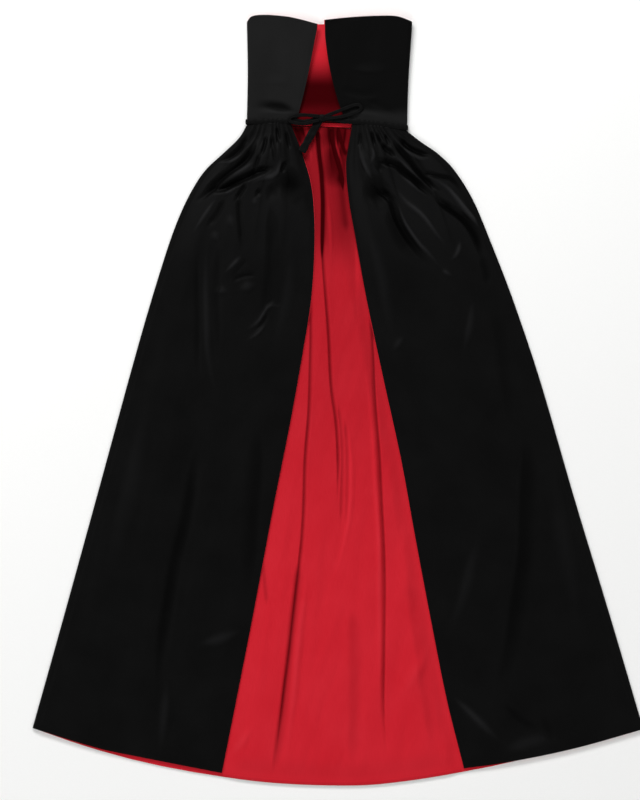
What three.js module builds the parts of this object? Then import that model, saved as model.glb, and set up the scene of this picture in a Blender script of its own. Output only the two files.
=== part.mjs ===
// A floor-length lined cape, laid out flat on its back: gathered body, tall stand collar,
// narrow neckband, and ties that are knotted in a bow. Black satin outside, red satin inside.
// Millimetres. +Z is up from the surface, +Y runs from the hem to the collar, and +X is to the
// right as it is seen from above. Left and right in names are the wearer's, so the right front
// is at -X. The origin is under the middle of the whole outline, on the surface.

import * as THREE from "three";

// Cloth and seams
const CLOTH = 1.0; // wall of the satin and of its lining
const COLLAR_CLOTH = 1.5; // satin with a stiff interlining behind it
const SEAM_GAP = 0.3; // between two pieces that are sewn together
const LINING_EDGE = 1.6; // how far the lining peeps out at the edges of fronts and collar

// The neckband: a C that runs round the neck, folded flat
const NECK_RIGHT_X = -193; // where the neck folds at the wearer's right
const NECK_LEFT_X = 146;
const BAND_WIDTH = 11;
const BAND_HALF_HEIGHT = 6;
const BAND_CROWN = 1;
const BAND_CLOTH = 2;
const BAND_OUT = 3; // how far the band stands out past the collar at the folds
const BAND_END_RIGHT_X = -95;
const BAND_END_LEFT_X = 15;

// The collar, folded flat
const COLLAR_FOOT_HALF_HEIGHT = 4;
const COLLAR_TOP_HALF_HEIGHT = 8; // stiff cloth springs open above the neckband
const COLLAR_FOOT_Y = 598;
const COLLAR_TOP_Y = 805;

// Heights of the body's layers above the surface
const BACK_LINING_Z = CLOTH + SEAM_GAP;
const COVER_Z = BACK_LINING_Z + CLOTH + SEAM_GAP; // the least height of the front's lining
const NECK_LIFT = 2.4; // the gathers hold the fronts up by this much at the neckband
const NECK_LIFT_REACH = 190;

// Side folds of the body
const SIDE_STEPS = [0, 3, 6.5, 10]; // distances in from the fold, where the front turns down
const LINING_INSET = 13;

// Outlines, each a smooth curve through its rows
const RIGHT_SIDE = [
  { y: 584, x: -193 }, { y: 556, x: -210 }, { y: 523, x: -244 }, { y: 489, x: -280 },
  { y: 446, x: -309 }, { y: 383, x: -339 }, { y: 298, x: -369 }, { y: 128, x: -420 },
  { y: -211, x: -513 }, { y: -465, x: -583 }, { y: -694, x: -647 },
];
const LEFT_SIDE = [
  { y: 571, x: 146 }, { y: 548, x: 176 }, { y: 523, x: 212 }, { y: 489, x: 246 },
  { y: 425, x: 286 }, { y: 340, x: 322 }, { y: 213, x: 371 }, { y: 43, x: 428 },
  { y: -211, x: 502 }, { y: -465, x: 579 }, { y: -696, x: 647 },
];
const RIGHT_EDGE = [
  { y: 586, x: -100 }, { y: 537, x: -81 }, { y: 467, x: -59 }, { y: 404, x: -51 },
  { y: 319, x: -50 }, { y: 213, x: -57 }, { y: 128, x: -70 }, { y: -41, x: -100 },
  { y: -211, x: -134 }, { y: -465, x: -182 }, { y: -789, x: -246 },
];
const LEFT_EDGE = [
  { y: 584, x: 30 }, { y: 542, x: 23 }, { y: 499, x: 17 }, { y: 425, x: 23 },
  { y: 340, x: 38 }, { y: 213, x: 61 }, { y: 43, x: 97 }, { y: -126, x: 134 },
  { y: -296, x: 165 }, { y: -465, x: 197 }, { y: -635, x: 231 }, { y: -779, x: 267 },
];
const BACK_HEM = [
  { x: -647, y: -694 }, { x: -521, y: -737 }, { x: -377, y: -774 }, { x: -187, y: -805 },
  { x: -38, y: -815 }, { x: 95, y: -812 }, { x: 301, y: -780 }, { x: 496, y: -735 },
  { x: 647, y: -695 },
];
const RIGHT_HEM = [
  { x: -647, y: -694 }, { x: -509, y: -736 }, { x: -424, y: -754 }, { x: -246, y: -789 },
];
const LEFT_HEM = [
  { x: 267, y: -779 }, { x: 354, y: -767 }, { x: 496, y: -738 }, { x: 647, y: -696 },
];
const BACK_NECK = [{ x: -193, y: 590 }, { x: 146, y: 577.5 }];
const RIGHT_NECK = [{ x: -193, y: 590 }, { x: -95, y: 592 }];
const LEFT_NECK = [{ x: 15, y: 591.5 }, { x: 80, y: 586 }, { x: 146, y: 577.5 }];
const COLLAR_RIGHT_FOLD = [{ y: 590, x: -193 }, { y: 700, x: -191 }, { y: 815, x: -193 }];
const COLLAR_LEFT_FOLD = [{ y: 577, x: 146 }, { y: 680, x: 149 }, { y: 800, x: 157 }];
const COLLAR_RIGHT_EDGE = [
  { y: 598, x: -86 }, { y: 643, x: -74 }, { y: 700, x: -61.5 }, { y: 796, x: -44 },
];
const COLLAR_LEFT_EDGE = [
  { y: 598, x: 14 }, { y: 637, x: -1 }, { y: 700, x: -17 }, { y: 764, x: -26.5 },
  { y: 805, x: -28 },
];
const COLLAR_RIGHT_TOP = [
  { x: -193, y: 800 }, { x: -184, y: 811 }, { x: -160, y: 815 }, { x: -112, y: 812 },
  { x: -81, y: 806 }, { x: -44, y: 796 },
];
const COLLAR_LEFT_TOP = [
  { x: -28, y: 804.5 }, { x: 25, y: 810 }, { x: 80, y: 813 }, { x: 125, y: 812 },
  { x: 157, y: 801 },
];
const COLLAR_BACK_TOP = [
  { x: -193, y: 800 }, { x: -150, y: 811 }, { x: -36, y: 797 }, { x: 105, y: 810 },
  { x: 157, y: 801 },
];

// The largest folds, as seen from above: each runs from its start through its middle to its
// end, is as wide as stated to each side, and rises by its height or sinks if that is negative.
const RIGHT_FOLDS = [
  { start: [-184, 570], middle: [-206, 537], end: [-250, 512], wide: 11, height: -7 },
  { start: [-190, 535], middle: [-222, 508], end: [-270, 480], wide: 12, height: 4 },
  { start: [-175, 548], middle: [-214, 497], end: [-298, 431], wide: 14, height: -9 },
  { start: [-140, 490], middle: [-192, 475], end: [-256, 459], wide: 12, height: -8 },
  { start: [-125, 571], middle: [-127, 542], end: [-134, 514], wide: 8, height: -4 },
  { start: [-212, 440], middle: [-212, 380], end: [-211, 325], wide: 11, height: -3.5 },
  { start: [-121, 500], middle: [-150, 470], end: [-186, 456], wide: 13, height: 4 },
  { start: [-218, 446], middle: [-269, 423], end: [-312, 362], wide: 14, height: 4 },
  { start: [-81, 500], middle: [-92, 455], end: [-104, 400], wide: 34, height: -5 },
  { start: [-282, 350], middle: [-265, 357], end: [-250, 345], wide: 20, height: 3 },
  { start: [-274, 340], middle: [-277, 230], end: [-268, 60], wide: 16, height: 2.5 },
  { start: [-286, -10], middle: [-322, -232], end: [-388, -597], wide: 28, height: -3.5 },
  { start: [-164, -27], middle: [-180, -240], end: [-194, -410], wide: 26, height: -3 },
];
const LEFT_FOLDS = [
  { start: [132, 561], middle: [155, 536], end: [196, 520], wide: 10, height: -6 },
  { start: [131, 531], middle: [163, 514], end: [204, 510], wide: 10, height: 3 },
  { start: [120, 554], middle: [161, 496], end: [215, 444], wide: 11, height: -8 },
  { start: [94, 547], middle: [108, 533], end: [122, 520], wide: 9, height: -5 },
  { start: [78, 512], middle: [142, 485], end: [197, 434], wide: 13, height: -8 },
  { start: [177, 482], middle: [222, 474], end: [260, 445], wide: 10, height: -5 },
  { start: [197, 468], middle: [250, 430], end: [315, 351], wide: 12, height: 5 },
  { start: [205, 424], middle: [264, 380], end: [306, 296], wide: 13, height: -9 },
  { start: [140, 468], middle: [168, 447], end: [191, 429], wide: 10, height: 4 },
  { start: [127, 444], middle: [187, 384], end: [230, 326], wide: 13, height: 4 },
  { start: [76, 456], middle: [122, 392], end: [190, 287], wide: 16, height: -8 },
  { start: [140, 400], middle: [170, 338], end: [218, 281], wide: 13, height: 4 },
  { start: [60, 470], middle: [85, 440], end: [120, 395], wide: 28, height: -5 },
  { start: [280, 177], middle: [257, 73], end: [250, -31], wide: 26, height: 3 },
  { start: [398, -60], middle: [384, -340], end: [344, -660], wide: 28, height: -3.5 },
  { start: [298, -280], middle: [273, -385], end: [236, -510], wide: 24, height: 3 },
  { start: [246, -632], middle: [297, -682], end: [346, -727], wide: 18, height: 3 },
];
const BACK_FOLDS = [
  { start: [-48, 572], middle: [-32, 400], end: [-31, 250], wide: 12, height: -8 },
  { start: [-32, 300], middle: [-16, 23], end: [-2, -220], wide: 11, height: -7 },
  { start: [-14, 571], middle: [2, 515], end: [15, 452], wide: 9, height: -5 },
  { start: [-57, 230], middle: [-66, -80], end: [-86, -380], wide: 11, height: -6 },
  { start: [-80, -300], middle: [-107, -560], end: [-142, -790], wide: 18, height: -6.5 },
  { start: [68, 200], middle: [86, -90], end: [98, -350], wide: 10, height: -6 },
  { start: [95, -280], middle: [99, -500], end: [102, -730], wide: 10, height: -7 },
  { start: [17, -60], middle: [18, -240], end: [-14, -372], wide: 14, height: 2.5 },
];
const LOOSE = 3.2; // how far the cloth stands off what it lies on, between its edges
const BACK_LOOSE = 8;
const BACK_NECK_SHARE = 0.25; // of that at the neckband, where the back's lining is held down
const BACK_NECK_REACH = 170;
const LOOSE_REACH = 55; // from an edge to where it stands off by all of that
const EDGE_FLAT = 14; // along the front edges no fold or gather rises within this
const BACK_EDGE_RISE = 34; // from the fronts' edges to where the back's lining is up
const SEAM_LIFT = 1.6; // how far the gathers hold the satin off its lining at the neckband
const SEAM_LIFT_REACH = 160;
const PUFF = { height: 9, from: 70, until: 130, gone: 330 }; // below the neckband

// Gathers at the neckband: waves that grow just below the seam and die out further down
const RIGHT_GATHERS = { count: 9, height: 3.6, reach: 105, drift: 0.8 };
const LEFT_GATHERS = { count: 11, height: 3.6, reach: 115, drift: 2.1 };
const BACK_GATHERS = { count: 9, height: 2.8, reach: 130, drift: 0.3 };
const GATHER_RISE = 16; // the waves reach their full height this far below the seam
const SEAM_SHARE = 0.45; // of their height that is left at the seam

// Ties and bow
const TIE_WIDTH = 12;
const TAIL_WIDTH = 16.5;
const LOOP_WIDTH = 7.5;
const TIE_Z = 10.3;
const TIE_THICK = 3.6;
const KNOT = { x: -34, y: 597, z: 10.6, half: [9.5, 8.5, 4.8] };

const BLACK = new THREE.MeshStandardMaterial({ color: 0x141416, roughness: 0.5, metalness: 0 });
const RED = new THREE.MeshStandardMaterial({ color: 0xc8202a, roughness: 0.45, metalness: 0 });

// Helpers

const mix = (a, b, t) => a + (b - a) * t;
const clamp01 = (t) => Math.min(1, Math.max(0, t));

function ease(t) {
  const s = clamp01(t);
  return s * s * (3 - 2 * s);
}

// The value at a place on a smooth curve through a table's rows, which run either way.
function along(table, from, to, at) {
  const rows = [...table].sort((a, b) => a[from] - b[from]);
  const last = rows.length - 1;
  const slope = (i) => {
    const a = rows[Math.max(i - 1, 0)];
    const b = rows[Math.min(i + 1, last)];
    return (b[to] - a[to]) / (b[from] - a[from]);
  };
  let i = 0;
  while (i < last - 1 && at > rows[i + 1][from]) i += 1;
  const a = rows[i];
  const b = rows[i + 1];
  const span = b[from] - a[from];
  const t = clamp01((at - a[from]) / span);
  const rise = b[to] - a[to];
  const bend = (1 - t) * (slope(i) * span - rise) - t * (slope(i + 1) * span - rise);
  return a[to] + rise * t + t * (1 - t) * bend;
}

const xAt = (table, y) => along(table, "y", "x", y);
const yAt = (table, x) => along(table, "x", "y", x);

// A fold's middle line as short straight stretches.
const FOLD_STEPS = 8;
function foldLine({ start, middle, end }) {
  const bend = [0, 1].map((k) => 2 * middle[k] - (start[k] + end[k]) / 2);
  const corner = (t, k) =>
    (1 - t) ** 2 * start[k] + 2 * t * (1 - t) * bend[k] + t * t * end[k];
  return Array.from({ length: FOLD_STEPS + 1 }, (_, i) =>
    [0, 1].map((k) => corner(i / FOLD_STEPS, k)),
  );
}

// The height that a list of folds gives at a place on the cloth.
const FOLD_GROWS = 0.2; // the shares of a fold's length in which it rises and dies away
const FOLD_FADES = 0.3;
function foldHeight(folds, x, y) {
  let sum = 0;
  for (const fold of folds) {
    const line = foldLine(fold);
    let nearest = Infinity;
    let where = 0;
    for (let i = 0; i < FOLD_STEPS; i += 1) {
      const [ax, ay] = line[i];
      const [dx, dy] = [line[i + 1][0] - ax, line[i + 1][1] - ay];
      const t = clamp01(((x - ax) * dx + (y - ay) * dy) / (dx * dx + dy * dy));
      const far = Math.hypot(x - ax - t * dx, y - ay - t * dy);
      if (far < nearest) {
        nearest = far;
        where = (i + t) / FOLD_STEPS;
      }
    }
    if (nearest >= fold.wide) continue;
    const across = (1 - (nearest / fold.wide) ** 2) ** 2;
    sum += fold.height * across * ease(where / FOLD_GROWS) * ease((1 - where) / FOLD_FADES);
  }
  return sum;
}

// One row of gathers, as a height at a share u of the seam and a distance below it.
function gatherHeight(gathers, u, below) {
  const { count, height, reach, drift } = gathers;
  const uneven = 0.32 * Math.sin(7.1 * u + drift) + 0.2 * Math.sin(17.3 * u + 2 * drift);
  const wave = Math.abs(Math.cos(Math.PI * (count * u + uneven)));
  const length = reach * (0.75 + 0.3 * Math.sin(9.7 * u + 3 * drift));
  const grown = mix(SEAM_SHARE, 1, ease(below / GATHER_RISE));
  return height * wave * grown * (1 - ease(below / length));
}

// A closed wall between upper and lower points. Rows may differ in how many points they hold.
function wall(rows) {
  const points = [];
  const index = [];
  const keep = (p) => points.push(p) - 1;
  const upper = rows.map((row) => row.map((p) => keep(p.upper)));
  const lower = rows.map((row) => row.map((p) => keep(p.lower)));
  const quad = (a, b, c, d) => index.push(a, b, c, a, c, d);
  const zip = (first, second, add) => {
    let i = 0;
    let j = 0;
    while (i < first.length - 1 || j < second.length - 1) {
      const nextI = (i + 1) / (first.length - 1);
      const nextJ = (j + 1) / (second.length - 1);
      if (j < second.length - 1 && nextJ <= nextI + 1e-9) {
        add(first[i], second[j], second[j + 1]);
        j += 1;
      } else {
        add(first[i], second[j], first[i + 1]);
        i += 1;
      }
    }
  };
  for (let r = 0; r < rows.length - 1; r += 1) {
    zip(upper[r], upper[r + 1], (a, b, c) => index.push(a, b, c));
    zip(lower[r], lower[r + 1], (a, b, c) => index.push(a, c, b));
    const end = rows[r].length - 1;
    const nextEnd = rows[r + 1].length - 1;
    quad(upper[r + 1][0], upper[r][0], lower[r][0], lower[r + 1][0]);
    quad(upper[r][end], upper[r + 1][nextEnd], lower[r + 1][nextEnd], lower[r][end]);
  }
  const foot = rows.length - 1;
  for (let c = 0; c < upper[0].length - 1; c += 1)
    quad(upper[0][c], upper[0][c + 1], lower[0][c + 1], lower[0][c]);
  for (let c = 0; c < upper[foot].length - 1; c += 1)
    quad(upper[foot][c + 1], upper[foot][c], lower[foot][c], lower[foot][c + 1]);
  return closed(points, index);
}

// A geometry from points and faces, turned so that its faces point out.
function closed(points, index) {
  let volume = 0;
  for (let i = 0; i < index.length; i += 3) {
    const [a, b, c] = [points[index[i]], points[index[i + 1]], points[index[i + 2]]];
    volume += a.dot(new THREE.Vector3().crossVectors(b, c));
  }
  if (volume < 0)
    for (let i = 0; i < index.length; i += 3)
      [index[i + 1], index[i + 2]] = [index[i + 2], index[i + 1]];
  const geometry = new THREE.BufferGeometry().setFromPoints(points);
  geometry.setIndex(index);
  geometry.computeVertexNormals();
  return geometry;
}

// A soft strap along stations, each with its centre and the half-vectors of its oval section.
const STRAP_SIDES = 8;
function strap(stations) {
  const points = [];
  const index = [];
  for (const { centre, across, up } of stations)
    for (let k = 0; k < STRAP_SIDES; k += 1) {
      const turn = (2 * Math.PI * (k + 0.5)) / STRAP_SIDES;
      points.push(
        centre.clone().addScaledVector(across, Math.cos(turn)).addScaledVector(up, Math.sin(turn)),
      );
    }
  const at = (s, k) => s * STRAP_SIDES + (k % STRAP_SIDES);
  for (let s = 0; s < stations.length - 1; s += 1)
    for (let k = 0; k < STRAP_SIDES; k += 1) {
      index.push(at(s, k), at(s, k + 1), at(s + 1, k + 1));
      index.push(at(s, k), at(s + 1, k + 1), at(s + 1, k));
    }
  const last = stations.length - 1;
  for (let k = 1; k < STRAP_SIDES - 1; k += 1) {
    index.push(at(0, 0), at(0, k + 1), at(0, k));
    index.push(at(last, 0), at(last, k), at(last, k + 1));
  }
  return closed(points, index);
}

// Body

// Shares of the way from neckband to hem, closer together at the gathers.
const CROWDING = 1.8;
const rowShares = (count) => Array.from({ length: count + 1 }, (_, i) => (i / count) ** CROWDING);

const FRONTS = {
  right: {
    side: RIGHT_SIDE, edge: RIGHT_EDGE, neck: RIGHT_NECK, hem: RIGHT_HEM,
    folds: RIGHT_FOLDS, gathers: RIGHT_GATHERS, fine: 36, coarse: 20,
  },
  left: {
    side: LEFT_SIDE, edge: LEFT_EDGE, neck: LEFT_NECK, hem: LEFT_HEM,
    folds: LEFT_FOLDS, gathers: LEFT_GATHERS, fine: 40, coarse: 22,
  },
};
const FRONT_ROWS = 24;
const FINE_UNTIL = 0.17; // share of the length that has the closer columns
const SEAM_Y = BAND_WIDTH / 2 + SEAM_GAP;

// The plan of a front: u runs from the side fold to the front edge, v from neckband to hem.
function frontPlan(front, u, v, inset) {
  const away = Math.sign(front.edge[0].x - front.side[0].x);
  const neckSide = front.side[0].x;
  const neckEdge = front.edge[0].x;
  const topSide = yAt(front.neck, neckSide) - SEAM_Y;
  const topEdge = yAt(front.neck, neckEdge) - SEAM_Y;
  const hemSide = front.side.at(-1);
  const hemEdge = front.edge.at(-1);
  const side = xAt(front.side, mix(topSide, hemSide.y, v)) + away * inset;
  const edge = xAt(front.edge, mix(topEdge, hemEdge.y, v));
  const top = yAt(front.neck, mix(neckSide, neckEdge, u)) - SEAM_Y;
  const hem = yAt(front.hem, mix(hemSide.x + away * inset, hemEdge.x, u));
  return { x: mix(side, edge, u), y: mix(top, hem, v), width: Math.abs(edge - side), away };
}

const bodyLength = (front) => yAt(front.neck, front.side[0].x) - front.side.at(-1).y;

// How high the fronts' lining lies, at a distance below the neckband.
const coverHeight = (below) => COVER_Z + NECK_LIFT * (1 - ease(below / NECK_LIFT_REACH));

// How far the front's satin stands off its lining.
function frontLoft(front, plan, u, v) {
  const below = v * bodyLength(front);
  const inFromEdges = Math.min(plan.width * u, plan.width * (1 - u), bodyLength(front) - below);
  const free = ease(inFromEdges / LOOSE_REACH);
  const lift = SEAM_LIFT * (1 - ease(below / SEAM_LIFT_REACH));
  const fallen = ease((below - PUFF.until) / (PUFF.gone - PUFF.until));
  const puff = PUFF.height * ease(below / PUFF.from) * (1 - fallen);
  const loose = (LOOSE + puff) * free + lift;
  const inner = ease(Math.min(plan.width * u, plan.width * (1 - u)) / EDGE_FLAT);
  const folds = foldHeight(front.folds, plan.x, plan.y) * inner;
  const gathers = gatherHeight(front.gathers, u, below) * inner;
  return Math.max(0, loose + folds + gathers);
}

function frontShell(front) {
  return wall(
    rowShares(FRONT_ROWS).map((v) => {
      const columns = v < FINE_UNTIL ? front.fine : front.coarse;
      const turn = SIDE_STEPS.slice(0, -1).map((inset) => ({ inset, u: 0 }));
      const flat = Array.from({ length: columns + 1 }, (_, i) => ({
        inset: SIDE_STEPS.at(-1),
        u: i / columns,
      }));
      return [...turn, ...flat].map(({ inset, u }) => {
        const plan = frontPlan(front, u, v, inset);
        const below = v * bodyLength(front);
        const low = coverHeight(below) + CLOTH + SEAM_GAP + frontLoft(front, plan, u, v);
        const bend = Math.sqrt(1 - (1 - inset / SIDE_STEPS.at(-1)) ** 2);
        const z = mix(CLOTH + SEAM_GAP, low, bend);
        return {
          upper: new THREE.Vector3(plan.x, plan.y, z + CLOTH),
          lower: new THREE.Vector3(plan.x, plan.y, z),
        };
      });
    }),
  );
}

const LINING_COLUMNS = 6;
function frontLining(front) {
  return wall(
    rowShares(FRONT_ROWS).map((v) =>
      Array.from({ length: LINING_COLUMNS + 1 }, (_, i) => {
        const u = i / LINING_COLUMNS;
        const plan = frontPlan(front, u, v, LINING_INSET);
        const x = plan.x + (i === LINING_COLUMNS ? plan.away * LINING_EDGE : 0);
        const z = coverHeight(v * bodyLength(front));
        return {
          upper: new THREE.Vector3(x, plan.y, z + CLOTH),
          lower: new THREE.Vector3(x, plan.y, z),
        };
      }),
    ),
  );
}

// The back's plan has three strips: under each front, and the stretch that shows between them.
const PAST_EDGE = 4; // from a front's edge to where the back's lining starts to rise
const BACK_ROWS = 22;
const BACK_SHELL = { rows: 14, strips: [4, 5, 4] };
const BACK_STRIPS = { fine: [3, 36, 3], coarse: [3, 24, 3] };

function backPlan(strip, t, v, inset) {
  const hemRight = RIGHT_SIDE.at(-1);
  const hemLeft = LEFT_SIDE.at(-1);
  const neckY = (x) => yAt(BACK_NECK, x) - SEAM_Y;
  const guides = [
    [NECK_RIGHT_X + inset, hemRight.x + inset, (y) => xAt(RIGHT_SIDE, y) + inset],
    [
      RIGHT_EDGE[0].x + PAST_EDGE,
      RIGHT_EDGE.at(-1).x + PAST_EDGE,
      (y) => xAt(RIGHT_EDGE, y) + PAST_EDGE,
    ],
    [
      LEFT_EDGE[0].x - PAST_EDGE,
      LEFT_EDGE.at(-1).x - PAST_EDGE,
      (y) => xAt(LEFT_EDGE, y) - PAST_EDGE,
    ],
    [NECK_LEFT_X - inset, hemLeft.x - inset, (y) => xAt(LEFT_SIDE, y) - inset],
  ];
  const [topA, footA, xA] = guides[strip];
  const [topB, footB, xB] = guides[strip + 1];
  const guideY = (top, foot) => mix(neckY(top), yAt(BACK_HEM, foot), v);
  const x = mix(xA(guideY(topA, footA)), xB(guideY(topB, footB)), t);
  const y = mix(neckY(mix(topA, topB, t)), yAt(BACK_HEM, mix(footA, footB, t)), v);
  return { x, y };
}

function backRow(v, strips, inset) {
  return strips.flatMap((count, strip) =>
    Array.from({ length: count + (strip === 2 ? 1 : 0) }, (_, i) => ({
      ...backPlan(strip, i / count, v, inset),
      u: strip === 1 ? i / count : null,
    })),
  );
}

// How far the back's lining stands off the satin under it, in the stretch that shows.
function backLoft({ x, y, u }, v) {
  if (u === null) return 0;
  const below = v * bodyLength(FRONTS.right);
  const right = x - xAt(RIGHT_EDGE, y);
  const left = xAt(LEFT_EDGE, y) - x;
  const open = ease((Math.min(right, left) - PAST_EDGE) / BACK_EDGE_RISE);
  const risen = mix(BACK_NECK_SHARE, 1, ease(below / BACK_NECK_REACH));
  const loose = BACK_LOOSE * risen * ease((y - yAt(BACK_HEM, x)) / LOOSE_REACH);
  const gathers = gatherHeight(BACK_GATHERS, u, below);
  return Math.max(0, loose + foldHeight(BACK_FOLDS, x, y) + gathers) * open;
}

function backLining() {
  return wall(
    rowShares(BACK_ROWS).map((v) =>
      backRow(v, v < FINE_UNTIL ? BACK_STRIPS.fine : BACK_STRIPS.coarse, LINING_INSET).map((p) => {
        const z = BACK_LINING_Z + backLoft(p, v);
        return {
          upper: new THREE.Vector3(p.x, p.y, z + CLOTH),
          lower: new THREE.Vector3(p.x, p.y, z),
        };
      }),
    ),
  );
}

function backShell() {
  return wall(
    rowShares(BACK_SHELL.rows).map((v) =>
      backRow(v, BACK_SHELL.strips, 0).map((p) => ({
        upper: new THREE.Vector3(p.x, p.y, CLOTH),
        lower: new THREE.Vector3(p.x, p.y, 0),
      })),
    ),
  );
}

// Neckband and collar: walls that follow a flattened C, from one front end round to the other

// Columns of a C: its two fronts, its two folds and its back, each as a place on the C.
function cColumns({ front, fold, back }) {
  const run = (part, count) => Array.from({ length: count }, (_, i) => ({ part, t: i / count }));
  return [
    ...run("rightFront", front), ...run("rightFold", fold), ...run("back", back),
    ...run("leftFold", fold), ...run("leftFront", front), { part: "leftFront", t: 1 },
  ];
}

// A place on a C: x and z, for folds at two places, a middle height and a radius at the folds.
function cPlace({ part, t }, { rightEnd, leftEnd, rightFold, leftFold, middle, radius }) {
  const rightCentre = rightFold + middle;
  const leftCentre = leftFold - middle;
  const turn = Math.PI * t;
  switch (part) {
    case "rightFront":
      return { x: mix(rightEnd, rightCentre, t), z: middle + radius, front: true };
    case "rightFold":
      return {
        x: rightCentre - radius * Math.sin(turn),
        z: middle + radius * Math.cos(turn),
        front: t < 0.5,
      };
    case "back":
      return { x: mix(rightCentre, leftCentre, t), z: middle - radius, front: false };
    case "leftFold":
      return {
        x: leftCentre + radius * Math.sin(turn),
        z: middle - radius * Math.cos(turn),
        front: t > 0.5,
      };
    default:
      return { x: mix(leftCentre, leftEnd, t), z: middle + radius, front: true };
  }
}

const BAND_ROWS = [0, 0.25, 0.75, 1]; // across the band, from its lower to its upper edge
const BAND_COLUMNS = { front: 6, fold: 4, back: 8 };

// The middle of the neckband in plan, at a place on its C.
function neckY({ part }, x) {
  if (part === "back") return yAt(BACK_NECK, x);
  return part.startsWith("right") ? yAt(RIGHT_NECK, x) : yAt(LEFT_NECK, x);
}

function bandWall(outer, inner, crown) {
  const place = (column, radius) => {
    const at = cPlace(column, {
      rightEnd: BAND_END_RIGHT_X,
      leftEnd: BAND_END_LEFT_X,
      rightFold: NECK_RIGHT_X - BAND_OUT,
      leftFold: NECK_LEFT_X + BAND_OUT,
      middle: BAND_HALF_HEIGHT,
      radius,
    });
    return { ...at, y: neckY(column, at.x) };
  };
  return wall(
    BAND_ROWS.map((share) => {
      const bulge = crown * (1 - (2 * share - 1) ** 2);
      const off = mix(-BAND_WIDTH / 2, BAND_WIDTH / 2, share);
      return cColumns(BAND_COLUMNS).map((column) => {
        const a = place(column, outer + bulge);
        const b = place(column, inner);
        return {
          upper: new THREE.Vector3(a.x, a.y + off, a.z),
          lower: new THREE.Vector3(b.x, b.y + off, b.z),
        };
      });
    }),
  );
}

const bandOuter = BAND_HALF_HEIGHT - BAND_CROWN;
const neckbandShell = () => bandWall(bandOuter, bandOuter - BAND_CLOTH, BAND_CROWN);
const bandInner = bandOuter - BAND_CLOTH - SEAM_GAP;
const neckbandLining = () => bandWall(bandInner, bandInner - CLOTH, 0);

const COLLAR_ROWS = 5;
const COLLAR_COLUMNS = { front: 7, fold: 4, back: 9 };

function collarWall(outerDepth, thick, past) {
  const place = (column, share, depth) => {
    const height = mix(COLLAR_FOOT_Y, COLLAR_TOP_Y, share);
    const middle = mix(COLLAR_FOOT_HALF_HEIGHT, COLLAR_TOP_HALF_HEIGHT, share);
    const at = cPlace(column, {
      rightEnd: xAt(COLLAR_RIGHT_EDGE, height) + past,
      leftEnd: xAt(COLLAR_LEFT_EDGE, height) - past,
      rightFold: xAt(COLLAR_RIGHT_FOLD, height),
      leftFold: xAt(COLLAR_LEFT_FOLD, height),
      middle,
      radius: middle - depth,
    });
    const onRight = column.part.startsWith("right");
    const top = at.front ? (onRight ? COLLAR_RIGHT_TOP : COLLAR_LEFT_TOP) : COLLAR_BACK_TOP;
    const foot = neckY(column, at.x) + SEAM_Y;
    return new THREE.Vector3(at.x, mix(foot, yAt(top, at.x), share), at.z);
  };
  return wall(
    Array.from({ length: COLLAR_ROWS + 1 }, (_, r) =>
      cColumns(COLLAR_COLUMNS).map((column) => ({
        upper: place(column, r / COLLAR_ROWS, outerDepth),
        lower: place(column, r / COLLAR_ROWS, outerDepth + thick),
      })),
    ),
  );
}

// Ties and bow

// Stations of a strap that lies flat, along points given as [x, y, z].
function flatStations(route, count, wide) {
  const curve = new THREE.CatmullRomCurve3(route.map((p) => new THREE.Vector3(...p)));
  return Array.from({ length: count + 1 }, (_, i) => {
    const along = curve.getTangentAt(i / count);
    const across = new THREE.Vector3(-along.y, along.x, 0).normalize();
    const up = new THREE.Vector3().crossVectors(along, across).normalize();
    return {
      centre: curve.getPointAt(i / count),
      across: across.multiplyScalar(wide / 2),
      up: up.multiplyScalar(TIE_THICK / 2),
    };
  });
}

function knot() {
  const ball = new THREE.SphereGeometry(1, 14, 9);
  const place = ball.attributes.position;
  const points = [];
  const index = [...ball.index.array];
  for (let i = 0; i < place.count; i += 1) {
    const p = new THREE.Vector3().fromBufferAttribute(place, i);
    const square = (s) => Math.sign(s) * Math.abs(s) ** 0.75;
    points.push(
      new THREE.Vector3(
        KNOT.x + KNOT.half[0] * square(p.x),
        KNOT.y + KNOT.half[1] * square(p.z),
        KNOT.z + KNOT.half[2] * square(p.y),
      ),
    );
  }
  return closed(points, index);
}

const KNOT_RIGHT = KNOT.x - KNOT.half[0] - SEAM_GAP;
const KNOT_LEFT = KNOT.x + KNOT.half[0] + SEAM_GAP;
const BAND_RIGHT = BAND_END_RIGHT_X + SEAM_GAP;
const BAND_LEFT = BAND_END_LEFT_X - SEAM_GAP;
const LOOP_Z = TIE_Z + TIE_THICK + SEAM_GAP;

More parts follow.
